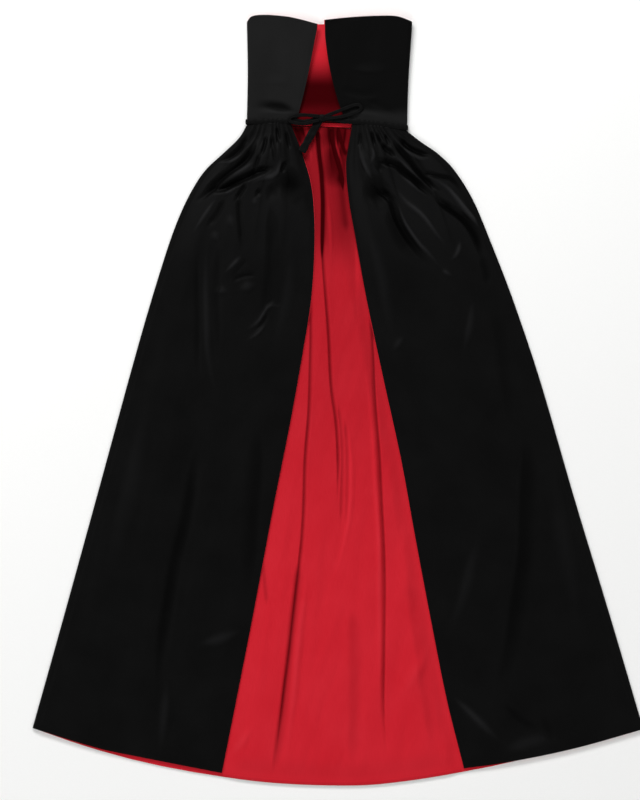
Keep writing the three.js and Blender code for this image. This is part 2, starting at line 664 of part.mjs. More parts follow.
const BOW = {
  tie_right: {
    wide: TIE_WIDTH,
    steps: 7,
    route: [
      [BAND_RIGHT, 592, TIE_Z], [BAND_RIGHT + 4, 592, TIE_Z], [-76, 590, TIE_Z],
      [-61, 595, TIE_Z], [KNOT_RIGHT - 5, 600, TIE_Z], [KNOT_RIGHT, 600, TIE_Z],
    ],
  },
  tie_left: {
    wide: TIE_WIDTH,
    steps: 6,
    route: [
      [BAND_LEFT, 591.5, TIE_Z], [BAND_LEFT - 4, 591.5, TIE_Z], [-5, 595, TIE_Z],
      [KNOT_LEFT, 597, TIE_Z],
    ],
  },
  bow_tail: {
    wide: TAIL_WIDTH,
    steps: 9,
    route: [[-41.2, 589.8, 10], [-52, 571, 10.6], [-64, 549, 13], [-77, 525, 14.4]],
  },
  bow_loop_right: {
    wide: LOOP_WIDTH,
    steps: 18,
    route: [
      [KNOT_RIGHT, 601, LOOP_Z], [-72, 603.5, LOOP_Z], [-95, 601, LOOP_Z], [-103, 594, LOOP_Z],
      [-96, 588, LOOP_Z], [-72, 585.5, LOOP_Z], [KNOT_RIGHT, 591, LOOP_Z],
    ],
  },
  bow_loop_left: {
    wide: LOOP_WIDTH,
    steps: 20,
    route: [
      [KNOT_LEFT, 602, LOOP_Z], [4, 613, 13], [34, 624.5, 12.4], [46, 624, 12.2], [49, 617, 12],
      [36, 608, 12], [8, 600, 13.6], [KNOT_LEFT, 595, LOOP_Z],
    ],
  },
};

const group = new THREE.Group();
function add(name, geometry, material) {
  const mesh = new THREE.Mesh(geometry, material);
  mesh.name = name;
  group.add(mesh);
}

add("back_shell", backShell(), BLACK);
add("back_lining", backLining(), RED);
add("front_right_shell", frontShell(FRONTS.right), BLACK);
add("front_right_lining", frontLining(FRONTS.right), RED);
add("front_left_shell", frontShell(FRONTS.left), BLACK);
add("front_left_lining", frontLining(FRONTS.left), RED);
add("collar_shell", collarWall(0, COLLAR_CLOTH, 0), BLACK);
add("collar_lining", collarWall(COLLAR_CLOTH + SEAM_GAP, CLOTH, LINING_EDGE), RED);
add("neckband_shell", neckbandShell(), BLACK);
add("neckband_lining", neckbandLining(), RED);
add("bow_knot", knot(), BLACK);
for (const [name, { wide, steps, route }] of Object.entries(BOW))
  add(name, strap(flatStations(route, steps, wide)), BLACK);

export default group;
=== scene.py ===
# %% [markdown]
# A lined satin cape, laid out flat
#
# The cape lies on its back on a pale floor and is seen from straight above. Black satin outside
# and red satin inside are gathered into a narrow neckband, with a tall stand collar above it and
# ties knotted in a bow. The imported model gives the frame: its solids hold each panel's size and
# place. This script makes a finer shell for each of them, on the same outline and the same form,
# and gives it the creases, the gathers, the weave and the sewing.

import math

import bpy
import numpy as np
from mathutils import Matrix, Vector


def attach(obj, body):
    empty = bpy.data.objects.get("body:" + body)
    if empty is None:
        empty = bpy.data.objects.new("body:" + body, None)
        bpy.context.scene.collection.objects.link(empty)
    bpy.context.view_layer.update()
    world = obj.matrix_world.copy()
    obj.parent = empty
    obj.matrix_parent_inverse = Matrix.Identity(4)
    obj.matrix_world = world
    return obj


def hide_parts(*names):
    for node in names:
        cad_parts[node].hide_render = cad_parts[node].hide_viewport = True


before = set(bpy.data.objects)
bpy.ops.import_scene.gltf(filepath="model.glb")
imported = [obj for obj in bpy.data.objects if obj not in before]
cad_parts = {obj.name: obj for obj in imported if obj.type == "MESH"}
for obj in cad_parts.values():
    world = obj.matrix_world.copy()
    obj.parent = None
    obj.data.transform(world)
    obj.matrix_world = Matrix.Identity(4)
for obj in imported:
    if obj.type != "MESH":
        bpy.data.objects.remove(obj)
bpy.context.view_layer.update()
MM = 0.001

# %% [markdown]
# Camera
#
# The view is straight down through a long lens, so that the hem and the collar are both seen
# square on. The picture's frame is 1696 mm tall on the floor, and its middle lies a little to the
# left of the cape's own middle.

# %% Camera
CAMERA_HEIGHT = 5.0
FRAME_TALL = 1.696
FRAME_MIDDLE = (-0.038, 0.001)
SENSOR = 36.0

camera = bpy.data.objects.new("camera", bpy.data.cameras.new("camera"))
camera.data.sensor_fit = "AUTO"
camera.data.sensor_width = SENSOR
camera.data.lens = SENSOR * CAMERA_HEIGHT / FRAME_TALL
camera.data.clip_end = 30.0
camera.location = (*FRAME_MIDDLE, CAMERA_HEIGHT)
bpy.context.collection.objects.link(camera)
bpy.context.scene.camera = camera
print("lens:", round(camera.data.lens, 1), "mm")

# %% [markdown]
# Outlines
#
# A cape's panels are cut from a few smooth lines: the neck, the side, the front edge and the hem.
# Each is a short table of places in millimetres, and one function draws a smooth curve through
# the rows of any of them. They are the lines of the solids, so a shell ends where its solid does.


# %% Outline tables and the curve through them
def smooth_curve(*rows):
    """The function from the first column to the second, on a smooth curve through the rows."""
    table = np.array(sorted(rows), dtype=float)
    a, b = table[:, 0], table[:, 1]
    last = len(a) - 1
    before = np.maximum(np.arange(last + 1) - 1, 0)
    after = np.minimum(np.arange(last + 1) + 1, last)
    slope = (b[after] - b[before]) / (a[after] - a[before])

    def value(at):
        at = np.asarray(at, dtype=float)
        i = np.clip(np.searchsorted(a, at) - 1, 0, last - 1)
        span = a[i + 1] - a[i]
        t = np.clip((at - a[i]) / span, 0, 1)
        rise = b[i + 1] - b[i]
        bend = (1 - t) * (slope[i] * span - rise) - t * (slope[i + 1] * span - rise)
        return b[i] + rise * t + t * (1 - t) * bend

    value.rows = [tuple(row) for row in rows]
    return value


# Rows are (y, x)
RIGHT_SIDE = smooth_curve(
    (584, -193), (556, -210), (523, -244), (489, -280), (446, -309), (383, -339), (298, -369),
    (128, -420), (-211, -513), (-465, -583), (-694, -647),
)
LEFT_SIDE = smooth_curve(
    (571, 146), (548, 176), (523, 212), (489, 246), (425, 286), (340, 322), (213, 371),
    (43, 428), (-211, 502), (-465, 579), (-696, 647),
)
RIGHT_EDGE = smooth_curve(
    (586, -100), (537, -81), (467, -59), (404, -51), (319, -50), (213, -57), (128, -70),
    (-41, -100), (-211, -134), (-465, -182), (-789, -246),
)
LEFT_EDGE = smooth_curve(
    (584, 30), (542, 23), (499, 17), (425, 23), (340, 38), (213, 61), (43, 97), (-126, 134),
    (-296, 165), (-465, 197), (-635, 231), (-779, 267),
)
COLLAR_RIGHT_FOLD = smooth_curve((590, -193), (700, -191), (815, -193))
COLLAR_LEFT_FOLD = smooth_curve((577, 146), (680, 149), (800, 157))
COLLAR_RIGHT_EDGE = smooth_curve((598, -86), (643, -74), (700, -61.5), (796, -44))
COLLAR_LEFT_EDGE = smooth_curve((598, 14), (637, -1), (700, -17), (764, -26.5), (805, -28))

# Rows are (x, y)
BACK_HEM = smooth_curve(
    (-647, -694), (-521, -737), (-377, -774), (-187, -805), (-38, -815), (95, -812),
    (301, -780), (496, -735), (647, -695),
)
RIGHT_HEM = smooth_curve((-647, -694), (-509, -736), (-424, -754), (-246, -789))
LEFT_HEM = smooth_curve((267, -779), (354, -767), (496, -738), (647, -696))
BACK_NECK = smooth_curve((-193, 590), (146, 577.5))
RIGHT_NECK = smooth_curve((-193, 590), (-95, 592))
LEFT_NECK = smooth_curve((15, 591.5), (80, 586), (146, 577.5))
COLLAR_RIGHT_TOP = smooth_curve(
    (-193, 800), (-184, 811), (-160, 815), (-112, 812), (-81, 806), (-44, 796)
)
COLLAR_LEFT_TOP = smooth_curve((-28, 804.5), (25, 810), (80, 813), (125, 812), (157, 801))
COLLAR_BACK_TOP = smooth_curve((-193, 800), (-150, 811), (-36, 797), (105, 810), (157, 801))
print("neck to hem:", round(float(BACK_NECK(0) - BACK_HEM(0))), "mm")

# %% [markdown]
# Folds
#
# Satin falls in long soft folds that start at the gathers and run out towards the hem. Each fold
# is one row: the route it takes, how wide it is to each side, how far it rises or
# sinks, and how much it leans. A fold that leans has one steep side and one gentle one, as a fold
# that has slumped does. Every fold is narrow where it starts and ends, and a slow drift of the
# whole table by a few millimetres keeps any of them from being quite straight.
#
# Little light gets into a deep fold, and satin's sheen is lost there, while a crest's floats
# spread and catch the light. This is painted into the colour: each table gives two things at a
# place, the height and a painted shade, from -1 for a painted highlight on a crest to 1 for
# painted shade in the depth of a fold.


# %% The right front's folds
# Rows are route, width to each side, height, lean
RIGHT_FOLDS = [
    (((-186, 568), (-198, 553), (-206, 537), (-231, 518), (-256, 510)), 9, -8, -0.2),
    (((-204, 526), (-217, 515), (-231, 509), (-252, 508)), 7, 3, 0.0),
    (((-174, 552), (-178, 533), (-196, 510), (-230, 487), (-256, 464), (-283, 437), (-308, 426)),
     13, -11, -0.3),
    (((-133, 491), (-153, 488), (-180, 480), (-217, 464), (-243, 453), (-266, 450),
      (-288, 440)), 12, -11, 0.0),
    (((-150, 560), (-153, 540), (-163, 514)), 6, -4, 0.0),
    (((-139, 562), (-135, 530), (-134, 498)), 7, -3.5, 0.2),
    (((-165, 522), (-174, 500), (-180, 484)), 7, -4, 0.0),
    (((-107, 508), (-113, 495), (-122, 476)), 8, -5, 0.0),
    (((-107, 570), (-103, 548), (-99, 528)), 6, -4, 0.0),
    (((-126, 580), (-124, 560), (-121, 538)), 6, -4, 0.0),
    (((-194, 464), (-205, 445), (-222, 421)), 8, -5, 0.0),
    (((-213, 434), (-212, 380), (-210, 320)), 9, -4.5, 0.3),
    (((-160, 450), (-170, 439), (-180, 428)), 9, -5, 0.0),
    (((-100, 500), (-102, 462), (-100, 410)), 38, -9, 0.0),
    (((-126, 466), (-140, 442), (-154, 416)), 18, -4, 0.0),
    (((-182, 540), (-196, 524), (-222, 502), (-262, 475), (-292, 450)), 10, 2.6, 0.2),
    (((-176, 506), (-193, 495), (-217, 482), (-238, 467)), 8, 3, 0.0),
    (((-119, 516), (-122, 496), (-133, 474), (-152, 468), (-173, 465), (-188, 453)), 8, 3.4, -0.2),
    (((-205, 462), (-222, 451), (-236, 444), (-260, 442)), 7, 3.4, 0.0),
    (((-256, 434), (-275, 413), (-294, 389), (-315, 357)), 8, 2.8, 0.3),
    (((-240, 430), (-262, 395), (-286, 372)), 10, -3.5, 0.0),
    (((-235, 399), (-229, 382), (-225, 364)), 14, 2.2, 0.0),
    (((-270, 366), (-264, 352), (-256, 340)), 15, 2.8, 0.0),
    (((-186, 424), (-177, 420), (-168, 418)), 12, 2.4, 0.0),
    (((-208, 308), (-227, 289), (-246, 270)), 7, 3.2, 0.3),
    (((-196, 300), (-216, 278), (-232, 256)), 8, -1.8, 0.0),
    (((-116, 192), (-128, 199), (-141, 202), (-154, 192), (-163, 174), (-176, 160), (-200, 149)),
     7, 4, 0.3),
    (((-150, 162), (-160, 149), (-174, 137), (-196, 127)), 6, 3, 0.0),
    (((-148, 180), (-160, 160), (-178, 147)), 5, -3, 0.0),
    (((-228, 255), (-208, 264), (-190, 267), (-174, 264)), 7, -4, 0.0),
    (((-216, 238), (-195, 242), (-174, 248)), 15, 3, 0.0),
    (((-270, 229), (-250, 234), (-230, 232)), 13, 2.8, 0.0),
    (((-284, 345), (-283, 240), (-279, 130), (-266, 60), (-246, 0)), 12, 2.2, 0.3),
    (((-302, 320), (-301, 230), (-298, 120), (-290, 40)), 10, -2.6, 0.0),
    (((-258, 330), (-258, 230), (-252, 100)), 12, -2, 0.0),
    (((-144, 420), (-148, 298), (-162, 140)), 17, -2.2, 0.3),
    (((-98, 330), (-112, 220), (-136, 90)), 20, 1.6, 0.3),
    (((-296, -90), (-332, -253), (-360, -381), (-374, -500), (-384, -650)), 20, -4.6, 0.3),
    (((-164, -60), (-180, -260), (-194, -430)), 24, -3.2, -0.3),
    (((-300, -518), (-250, -505), (-198, -486)), 17, 3.8, 0.0),
    (((-362, -590), (-368, -670), (-378, -752)), 17, 3, 0.0),
    (((-392, 20), (-440, -160), (-500, -420)), 30, 2.2, 0.3),
]
print("right front's folds:", len(RIGHT_FOLDS))

# %% The left front's folds
LEFT_FOLDS = [
    (((132, 562), (140, 551), (150, 540), (167, 529), (185, 521), (205, 520)), 9, -8, 0.2),
    (((133, 547), (145, 534), (160, 522), (176, 512), (203, 511)), 8, 3.5, 0.2),
    (((119, 558), (125, 543), (142, 521), (159, 500), (166, 487), (186, 464), (204, 447),
      (224, 443)), 9, -8, 0.2),
    (((74, 513), (96, 509), (123, 501), (137, 487), (158, 469), (174, 450), (206, 427)),
     11, -8.5, 0.2),
    (((198, 432), (222, 411), (251, 391), (270, 372), (285, 347), (294, 325), (308, 290)),
     12, -10, 0.3),
    (((74, 508), (92, 500), (110, 497)), 15, -4, 0.0),
    (((92, 550), (103, 535), (112, 529), (124, 518)), 8, -7, 0.2),
    (((174, 483), (191, 479), (218, 472), (236, 471), (250, 461), (263, 441)), 8, -6, 0.0),
    (((68, 464), (91, 444), (108, 432), (117, 402), (126, 378), (142, 348), (163, 320),
      (196, 282)), 12, -7.6, 0.3),
    (((66, 488), (82, 446), (99, 402)), 34, -9.5, 0.0),
    (((104, 410), (126, 350), (158, 300)), 17, -3.4, 0.0),
    (((74, 576), (76, 560), (79, 542)), 5, -4, 0.0),
    (((49, 574), (47, 555), (44, 538)), 5, -3, 0.0),
    (((86, 572), (89, 558), (93, 546)), 5, -3, 0.0),
    (((102, 568), (107, 552), (113, 540)), 5, -3.5, 0.0),
    (((117, 453), (127, 444), (146, 420), (167, 402), (185, 384), (215, 344), (234, 322)),
     9, 4.5, -0.2),
    (((124, 430), (138, 385), (155, 356), (173, 332), (191, 314), (221, 276)), 9, 4.5, -0.3),
    (((190, 472), (221, 457), (243, 439), (276, 397), (298, 372), (326, 338), (342, 312)),
     10, 6.5, -0.3),
    (((126, 486), (146, 468), (161, 454), (176, 441), (194, 427)), 7, 3, -0.2),
    (((116, 526), (136, 508), (150, 492), (170, 470), (198, 444)), 7, 3, 0.0),
    (((44, 562), (47, 535), (52, 508), (74, 468), (86, 456)), 9, 3.5, 0.2),
    (((75, 542), (76, 522), (66, 500)), 8, 2.6, 0.0),
    (((258, 338), (252, 311), (243, 300), (233, 297)), 8, 3.4, 0.0),
    (((218, 278), (228, 270), (242, 261)), 8, 2.6, 0.0),
    (((298, 306), (310, 276), (318, 240)), 12, -3.5, 0.2),
    (((286, 215), (277, 150), (268, 95)), 13, 2.2, 0.3),
    (((142, 140), (130, 124), (116, 108)), 12, 2.2, 0.0),
    (((60, 380), (92, 250), (120, 120)), 20, 1.8, 0.3),
    (((326, 200), (350, 80), (372, -60)), 22, -2.2, 0.3),
    (((398, -60), (384, -340), (344, -660)), 28, -4, 0.4),
    (((298, -280), (273, -385), (236, -510)), 22, 2.6, 0.2),
    (((240, -626), (297, -682), (350, -730)), 13, 4.6, 0.0),
    (((348, -744), (410, -722), (478, -716)), 24, 4.4, 0.0),
    (((352, -640), (392, -676), (430, -700)), 18, -2.6, 0.0),
    (((436, -660), (446, -692), (452, -728)), 18, -2.4, 0.0),
    (((452, -120), (480, -300), (520, -520)), 30, 2.2, -0.3),
]
print("left front's folds:", len(LEFT_FOLDS))

# %% The folds of the back's lining
BACK_FOLDS = [
    (((-46, 578), (-43, 552), (-39.5, 518), (-35.5, 478), (-34, 426), (-35, 375), (-36, 290)),
     8, -10, 0.3),
    (((-36, 360), (-34, 299), (-27, 214), (-19, 121), (-13, 23), (-4, -51), (0, -136), (-2, -224)),
     5.5, -4.6, 0.4),
    (((-15, 578), (-13, 552), (-7, 527), (0, 502), (7, 476), (11, 440)), 6, -7, 0.3),
    (((0, 578), (5, 557), (12, 536), (18, 516)), 6, -5, 0.0),
    (((-5, 566), (-2, 540), (6, 512), (13, 486)), 5, 3, 0.0),
    (((4, 490), (9, 430), (17, 352)), 15, -2.2, 0.0),
    (((-24, 450), (-20, 380), (-14, 280)), 9, 1.6, 0.0),
    (((-67, 560), (-60, 535), (-54, 500)), 8, 2, 0.0),
    (((-58, 260), (-59, 172), (-58, 108), (-62, -30), (-71, -146), (-78, -295), (-90, -401),
      (-101, -517), (-113, -602), (-124, -698), (-141, -800)), 6, -4.8, 0.4),
    (((-86, -340), (-99, -480), (-113, -610), (-126, -710), (-143, -812)), 15, -3.2, 0.5),
    (((-64, -340), (-84, -520), (-98, -660), (-114, -800)), 15, 3, 0.0),
    (((66, 230), (69, 184), (76, 91), (81, 2), (88, -114), (93, -220), (97, -326), (100, -422),
      (99, -528), (99, -676), (103, -770)), 6, -5, -0.4),
    (((57, 130), (68, 0), (76, -140), (85, -320), (88, -520), (87, -720)), 9, 2, 0.0),
    (((2, -8), (9, -120), (4, -275)), 6, -2.2, 0.2),
    (((16, -40), (21, -150), (14, -285)), 6, -1.8, 0.2),
    (((17, -20), (26, -130), (22, -231), (0, -348), (-26, -392)), 11, 2.8, 0.2),
    (((-164, -325), (-157, -380), (-150, -436)), 8, -3, 0.0),
    (((-233, -760), (-203, -720), (-173, -682)), 16, 3, 0.0),
    (((202, -500), (168, -570), (128, -642)), 20, 2.5, 0.0),
    (((36, 420), (38, 300), (46, 150)), 10, 2, 0.3),
    (((150, -380), (172, -540), (200, -740)), 20, -1.6, 0.4),
    (((30, -440), (34, -600), (28, -780)), 22, -1.6, 0.3),
]
print("back's folds:", len(BACK_FOLDS))

# %% From a fold table to heights and shade
FOLD_STEP = 14
SHORT_TIPS = (0.2, 0.32)  # the shares of a fold's length in which it rises and dies away
LONG_TIPS = (0.08, 0.18)
BLUNT = 1.6  # but a fold rises over at least this many of its own widths
CREST_TIPS = (0.4, 0.5)  # and crests over more of their length
FOLD_TIP = 0.5  # how much of its width a fold keeps at its tips
DEEP_FOLD = 8  # a fold this deep gets the full painted shade
LIT_FOLD = 7  # and a crest this high gets the full painted highlight, if it is narrow
LIT_WIDTH = 8
CREST_EDGE = 2.2  # how fast the painted highlight falls off to both sides of a crest


def ease(t):
    s = np.clip(t, 0, 1)
    return s * s * (3 - 2 * s)


def mix(a, b, t):
    return a + (b - a) * t


def fading(at, end, over):
    """A share that falls from 1 to 0 over the last stretch before the end."""
    return ease((end - at) / over)


def smooth_route(route, step, least=8):
    """Even points on a smooth curve through the route's rows, and how far along each one is."""
    rows = np.array(route, dtype=float)
    ends = [2 * rows[0] - rows[1], *rows, 2 * rows[-1] - rows[-2]]
    t = np.linspace(0, 1, 40, endpoint=False)[:, None]
    dense = []
    for p0, p1, p2, p3 in zip(ends, ends[1:], ends[2:], ends[3:]):
        bend = (2 * p0 - 5 * p1 + 4 * p2 - p3) * t**2 + (3 * p1 - p0 - 3 * p2 + p3) * t**3
        dense.append(p1 + ((p2 - p0) * t + bend) / 2)
    dense = np.concatenate([*dense, rows[-1:]])
    run = np.concatenate([[0], np.cumsum(np.linalg.norm(np.diff(dense, axis=0), axis=1))])
    even = np.linspace(0, run[-1], max(least, round(run[-1] / step)) + 1)
    return np.stack([np.interp(even, run, axis) for axis in dense.T], axis=-1), even


def fold_height(folds, x, y, drift, tips=SHORT_TIPS, shade_edge=1.0):
    """Height in mm and painted shade that a fold table's rows give at places on the cloth."""
    total = np.zeros_like(x)
    shade = np.zeros_like(x)
    x = x + drift * (np.sin(y / 97 + 1.3) + 0.4 * np.sin(y / 33 + x / 47))
    y = y + drift * (np.sin(x / 61 + 0.4) + 0.4 * np.sin(x / 27 - y / 53))
    for route, wide, height, lean in folds:
        line, run = smooth_route(route, FOLD_STEP)
        steps = len(line) - 1
        least = min(0.5, BLUNT * wide / run[-1])
        rise, fade = (max(least, tip) for tip in (tips if height < 0 else CREST_TIPS))
        reach = wide * (1 + abs(lean))
        low, high = line.min(axis=0) - reach, line.max(axis=0) + reach
        near = (x > low[0]) & (x < high[0]) & (y > low[1]) & (y < high[1])
        if not near.any():
            continue
        px, py = x[near], y[near]
        best = np.full(px.shape, np.inf)
        side = np.zeros(px.shape)
        where = np.zeros(px.shape)
        for i in range(steps):
            ax, ay = line[i]
            dx, dy = line[i + 1] - line[i]
            t = np.clip(((px - ax) * dx + (py - ay) * dy) / (dx * dx + dy * dy), 0, 1)
            far = np.hypot(px - ax - t * dx, py - ay - t * dy)
            closer = far < best
            best = np.where(closer, far, best)
            side = np.where(closer, np.sign(dx * (py - ay) - dy * (px - ax)), side)
            where = np.where(closer, (i + t) / steps, where)
        grown = ease(where / rise) * ease((1 - where) / fade)
        share = best / (wide * (1 + lean * side) * mix(FOLD_TIP, 1, grown))
        across = (1 - np.minimum(share, 1) ** 2) ** 2
        total[near] += height * grown * across
        # painted shade in a fold, and a painted highlight on a crest
        if height < 0:
            shade[near] += min(1, -height / DEEP_FOLD) * grown * across**shade_edge
        else:
            painted_highlight = min(1, height / LIT_FOLD) * min(1, LIT_WIDTH / wide)
            shade[near] -= painted_highlight * grown * across**CREST_EDGE
    return total, shade


def soft_floor(height, softness=1.8):
    """Heights that settle gently on what lies below, where they would sink into it."""
    return (height + np.sqrt(height**2 + softness**2)) / 2


fold_steps = [len(smooth_route(route, FOLD_STEP)[0]) for route, _, _, _ in RIGHT_FOLDS]
print("a fold's steps, least and most:", min(fold_steps), max(fold_steps))

# %% [markdown]
# Gathers and slack
#
# A gathered edge is drawn up on a thread until it fits the band, so the cloth stands in a row of
# small flutes with sharp creases between them. They could be one even wave, but a real gathering
# thread bunches the cloth unevenly: each flute here has its own height and its own length, and a
# second row of wider ones takes over below the first, as small flutes run together into folds.
# Below them the satin is never quite flat: its slack is a sum of long waves along the grain.

# %% Gathers and slack
# Rows are count, height, reach below the seam, drift
RIGHT_GATHERS = [(9, 2.6, 110, 0.8), (4.3, 3.6, 230, 2.0)]
LEFT_GATHERS = [(11, 2.6, 115, 2.1), (5.2, 3.6, 250, 0.7)]
BACK_GATHERS = [(8, 2.2, 62, 0.3), (3.6, 1.8, 105, 1.9)]
GATHER_RISE = 16
SEAM_SHARE = 0.45
GATHER_SHADE = 0.45


def uneven_share(number, seed):
    """A fixed share between 0 and 1 for each flute."""
    wild = np.sin(number * 12.9898 + seed * 78.233) * 43758.5453
    return wild - np.floor(wild)


def gather_height(gathers, u, below):
    total = np.zeros_like(u)
    shade = np.zeros_like(u)
    for step, (count, height, reach, drift) in enumerate(gathers):
        uneven = 0.32 * np.sin(7.1 * u + drift) + 0.2 * np.sin(17.3 * u + 2 * drift)
        phase = count * u + uneven + 0.02 * np.sin(below / 23 + 9 * u)
        number = np.floor(phase + 0.5)
        wave = np.abs(np.cos(math.pi * phase))
        tall = mix(0.45, 1.15, uneven_share(number, drift))
        length = reach * mix(0.55, 1.25, uneven_share(number, drift + 1))
        seam = SEAM_SHARE if step == 0 else 0
        grown = mix(seam, 1, ease(below / (GATHER_RISE * (1 + 4 * step))))
        left = tall * grown * (1 - ease(below / length))
        total += height * wave * left
        # painted shade in the sharp creases between the flutes
        shade += GATHER_SHADE * (1 - wave) ** 2 * left
    return total, shade


def slack(s, d, seed, wide, long, height, waves=9):
    """Long soft waves: wide apart across the grain (s) and long along it (d)."""
    rng = np.random.default_rng(seed)
    total = np.zeros_like(s)
    for _ in range(waves):
        across = 2 * math.pi / (wide * rng.uniform(0.6, 1.7))
        down = 2 * math.pi / (long * rng.uniform(0.6, 1.7)) * rng.choice([-1, 1])
        sway = rng.uniform(0.3, 0.8) * np.sin(d / long * rng.uniform(2, 5) + rng.uniform(0, 6))
        total += np.sin(across * s + down * d + sway + rng.uniform(0, 2 * math.pi))
    return height * total / math.sqrt(waves / 2)


print("first gathers' heights:", [g[0][1] for g in (RIGHT_GATHERS, LEFT_GATHERS, BACK_GATHERS)])

# %% [markdown]
# A wall of cloth
#
# Every panel is made the same way: a grid of points for its upper face, the same grid moved down
# by the cloth's thickness for its lower face, and a rim that closes the two. The rim's corners
# stay sharp, as a pressed edge is. The grid also gives the panel its own map, in metres across
# and along the grain, which the weave follows.

# %% Cloth wall
CLOTH = 1.0
SEAM_GAP = 0.3
SHARP_EDGE = math.radians(50)


def cloth_piece(name, points, faces, flat, shade):
    """A piece from points in mm and faces, with its map in mm and the shade at its points."""
    mesh = bpy.data.meshes.new(name)
    mesh.from_pydata((points * MM).tolist(), [], faces)
    layer = mesh.uv_layers.new(name="grain")
    corners = np.empty(len(mesh.loops), dtype=np.int32)
    mesh.loops.foreach_get("vertex_index", corners)
    layer.data.foreach_set("uv", (flat * MM)[corners].ravel())
    mesh.attributes.new("shade", "FLOAT", "POINT").data.foreach_set("value", shade)
    mesh.shade_smooth()
    piece = bpy.data.objects.new(name, mesh)
    bpy.context.collection.objects.link(piece)
    print(name, "faces:", len(faces))
    return piece


def cloth_wall(name, upper, lower, uv, shade=None):
    """A closed mesh from grids of upper and lower points in mm, with a map and the shade."""
    rows, columns = upper.shape[:2]
    count = rows * columns
    shade = np.zeros((rows, columns)) if shade is None else np.clip(shade, -1, 1)
    points = np.concatenate([upper.reshape(-1, 3), lower.reshape(-1, 3)])
    number = np.arange(count).reshape(rows, columns)
    a, b = number[:-1, :-1], number[:-1, 1:]
    c, d = number[1:, 1:], number[1:, :-1]
    top = np.stack([a, b, c, d], axis=-1).reshape(-1, 4)
    bottom = top[:, ::-1] + count
    ring = np.concatenate(
        [number[0, :], number[1:, -1], number[-1, -2::-1], number[-2:0:-1, 0]]
    )
    step = np.roll(ring, -1)
    rim = np.stack([step, ring, ring + count, step + count], axis=-1)
    faces = np.concatenate([top, bottom, rim])
    middle = top[len(top) // 2]
    first = points[middle]
    up = np.cross(first[1] - first[0], first[2] - first[0])
    inwards = points[count + middle[0]] - points[middle[0]]
    if np.dot(up, inwards) > 0:
        faces = faces[:, ::-1]
    flat = np.tile(uv.reshape(-1, 2), (2, 1))
    piece = cloth_piece(name, points, faces.tolist(), flat, np.tile(shade.ravel(), 2))
    piece.data.set_sharp_from_angle(angle=SHARP_EDGE)
    return piece


def wall_up(name, x, y, z, uv, shade=None):
    """A cloth wall whose lower face is at height z and whose upper face is one cloth above."""
    upper = np.stack([x, y, z + CLOTH], axis=-1)
    lower = np.stack([x, y, z], axis=-1)
    return cloth_wall(name, upper, lower, uv, shade)


# %% [markdown]
# The fronts
#
# Each front is one long panel of black satin over its own red lining. Its outer side is a fold:
# there the satin turns down round the edge to meet the back. Its neck edge is gathered, and the
# cloth puffs up just below the gathers, where it is fullest, then sinks on to the lining. The
# shell follows the panel's own lines from neck to hem, so the gathers fan out with the cloth.
# Its top edge runs on under the neckband, as a seam allowance does, so no light shows between.

# %% The fronts' place and height
BAND_WIDTH = 11
SEAM_Y = BAND_WIDTH / 2 + SEAM_GAP
BACK_LINING_Z = CLOTH + SEAM_GAP
COVER_Z = BACK_LINING_Z + CLOTH + SEAM_GAP
NECK_LIFT = 2.4
NECK_LIFT_REACH = 190
SIDE_TURN = 10
LINING_INSET = 13
LINING_EDGE = 1.2  # how far the lining shows past the satin's edge
# Where each painted shade of the lining's edge ends below the neckband, and over how far it fades
EDGE_SHADE = (480, 300)
BOW_SHADE = (85, 30)  # painted shadow: the bow keeps the light off the edges beside it
LOOSE = 3.2
LOOSE_REACH = 55
EDGE_FLAT = 14
SIDE_FLAT_SHARE = 2.2  # the outer side is flat for this many times less than the edge
SEAM_LIFT = 1.6
SEAM_LIFT_REACH = 160
PUFF_HEIGHT = 11
PUFF_LIT = 0.1  # the painted highlight on the puff, where it turns to the light
FRONT_DRIFT = 3
SEEN = 1.005  # the routes were read from above, where the raised cloth looks this much larger
PUFF_FROM, PUFF_UNTIL, PUFF_GONE = 70, 130, 330
TUCK = 5  # how far the gathered edge runs on under the neckband
TUCK_DROP = 2.2
HEM_TURN = 14  # the hem's second layer, pressed up behind the first
HEM_RISE = 0.7
HEM_STEP = 3
# Rows are the waves' spacing across and along the grain, and their height
FRONT_WAVES = (120, 800, 0.9)
FRONT_CREASES = (34, 180, 0.22)
CREASED_TO, CREASED_FADE, CREASED_LEAST = 500, 350, 0.3


class Front:
    def __init__(self, side, edge, neck, hem, folds, gathers, seed, edge_shade):
        self.side, self.edge, self.neck, self.hem = side, edge, neck, hem
        self.folds, self.gathers, self.seed = folds, gathers, seed
        self.edge_shade = edge_shade  # painted shade on the lining's edge; below 0 it is a painted highlight, where one front turns to the light
        self.side_x = side.rows[0][1]
        self.edge_x = edge.rows[0][1]
        self.away = np.sign(self.edge_x - self.side_x)
        self.hem_side = side.rows[-1]
        self.hem_edge = edge.rows[-1]
        self.length = float(neck(self.side_x)) - self.hem_side[0]

    def plan(self, u, v, inset):
        """Places on the panel, from its side (u = 0) to its edge and from neck (v = 0) to hem."""
        top_side = self.neck(self.side_x) - SEAM_Y
        top_edge = self.neck(self.edge_x) - SEAM_Y
        side = self.side(mix(top_side, self.hem_side[0], v)) + self.away * inset
        edge = self.edge(mix(top_edge, self.hem_edge[0], v))
        top = self.neck(mix(self.side_x, self.edge_x, u)) - SEAM_Y
        hem = self.hem(mix(self.hem_side[1] + self.away * inset, self.hem_edge[1], u))
        return mix(side, edge, u), mix(top, hem, v), np.abs(edge - side)


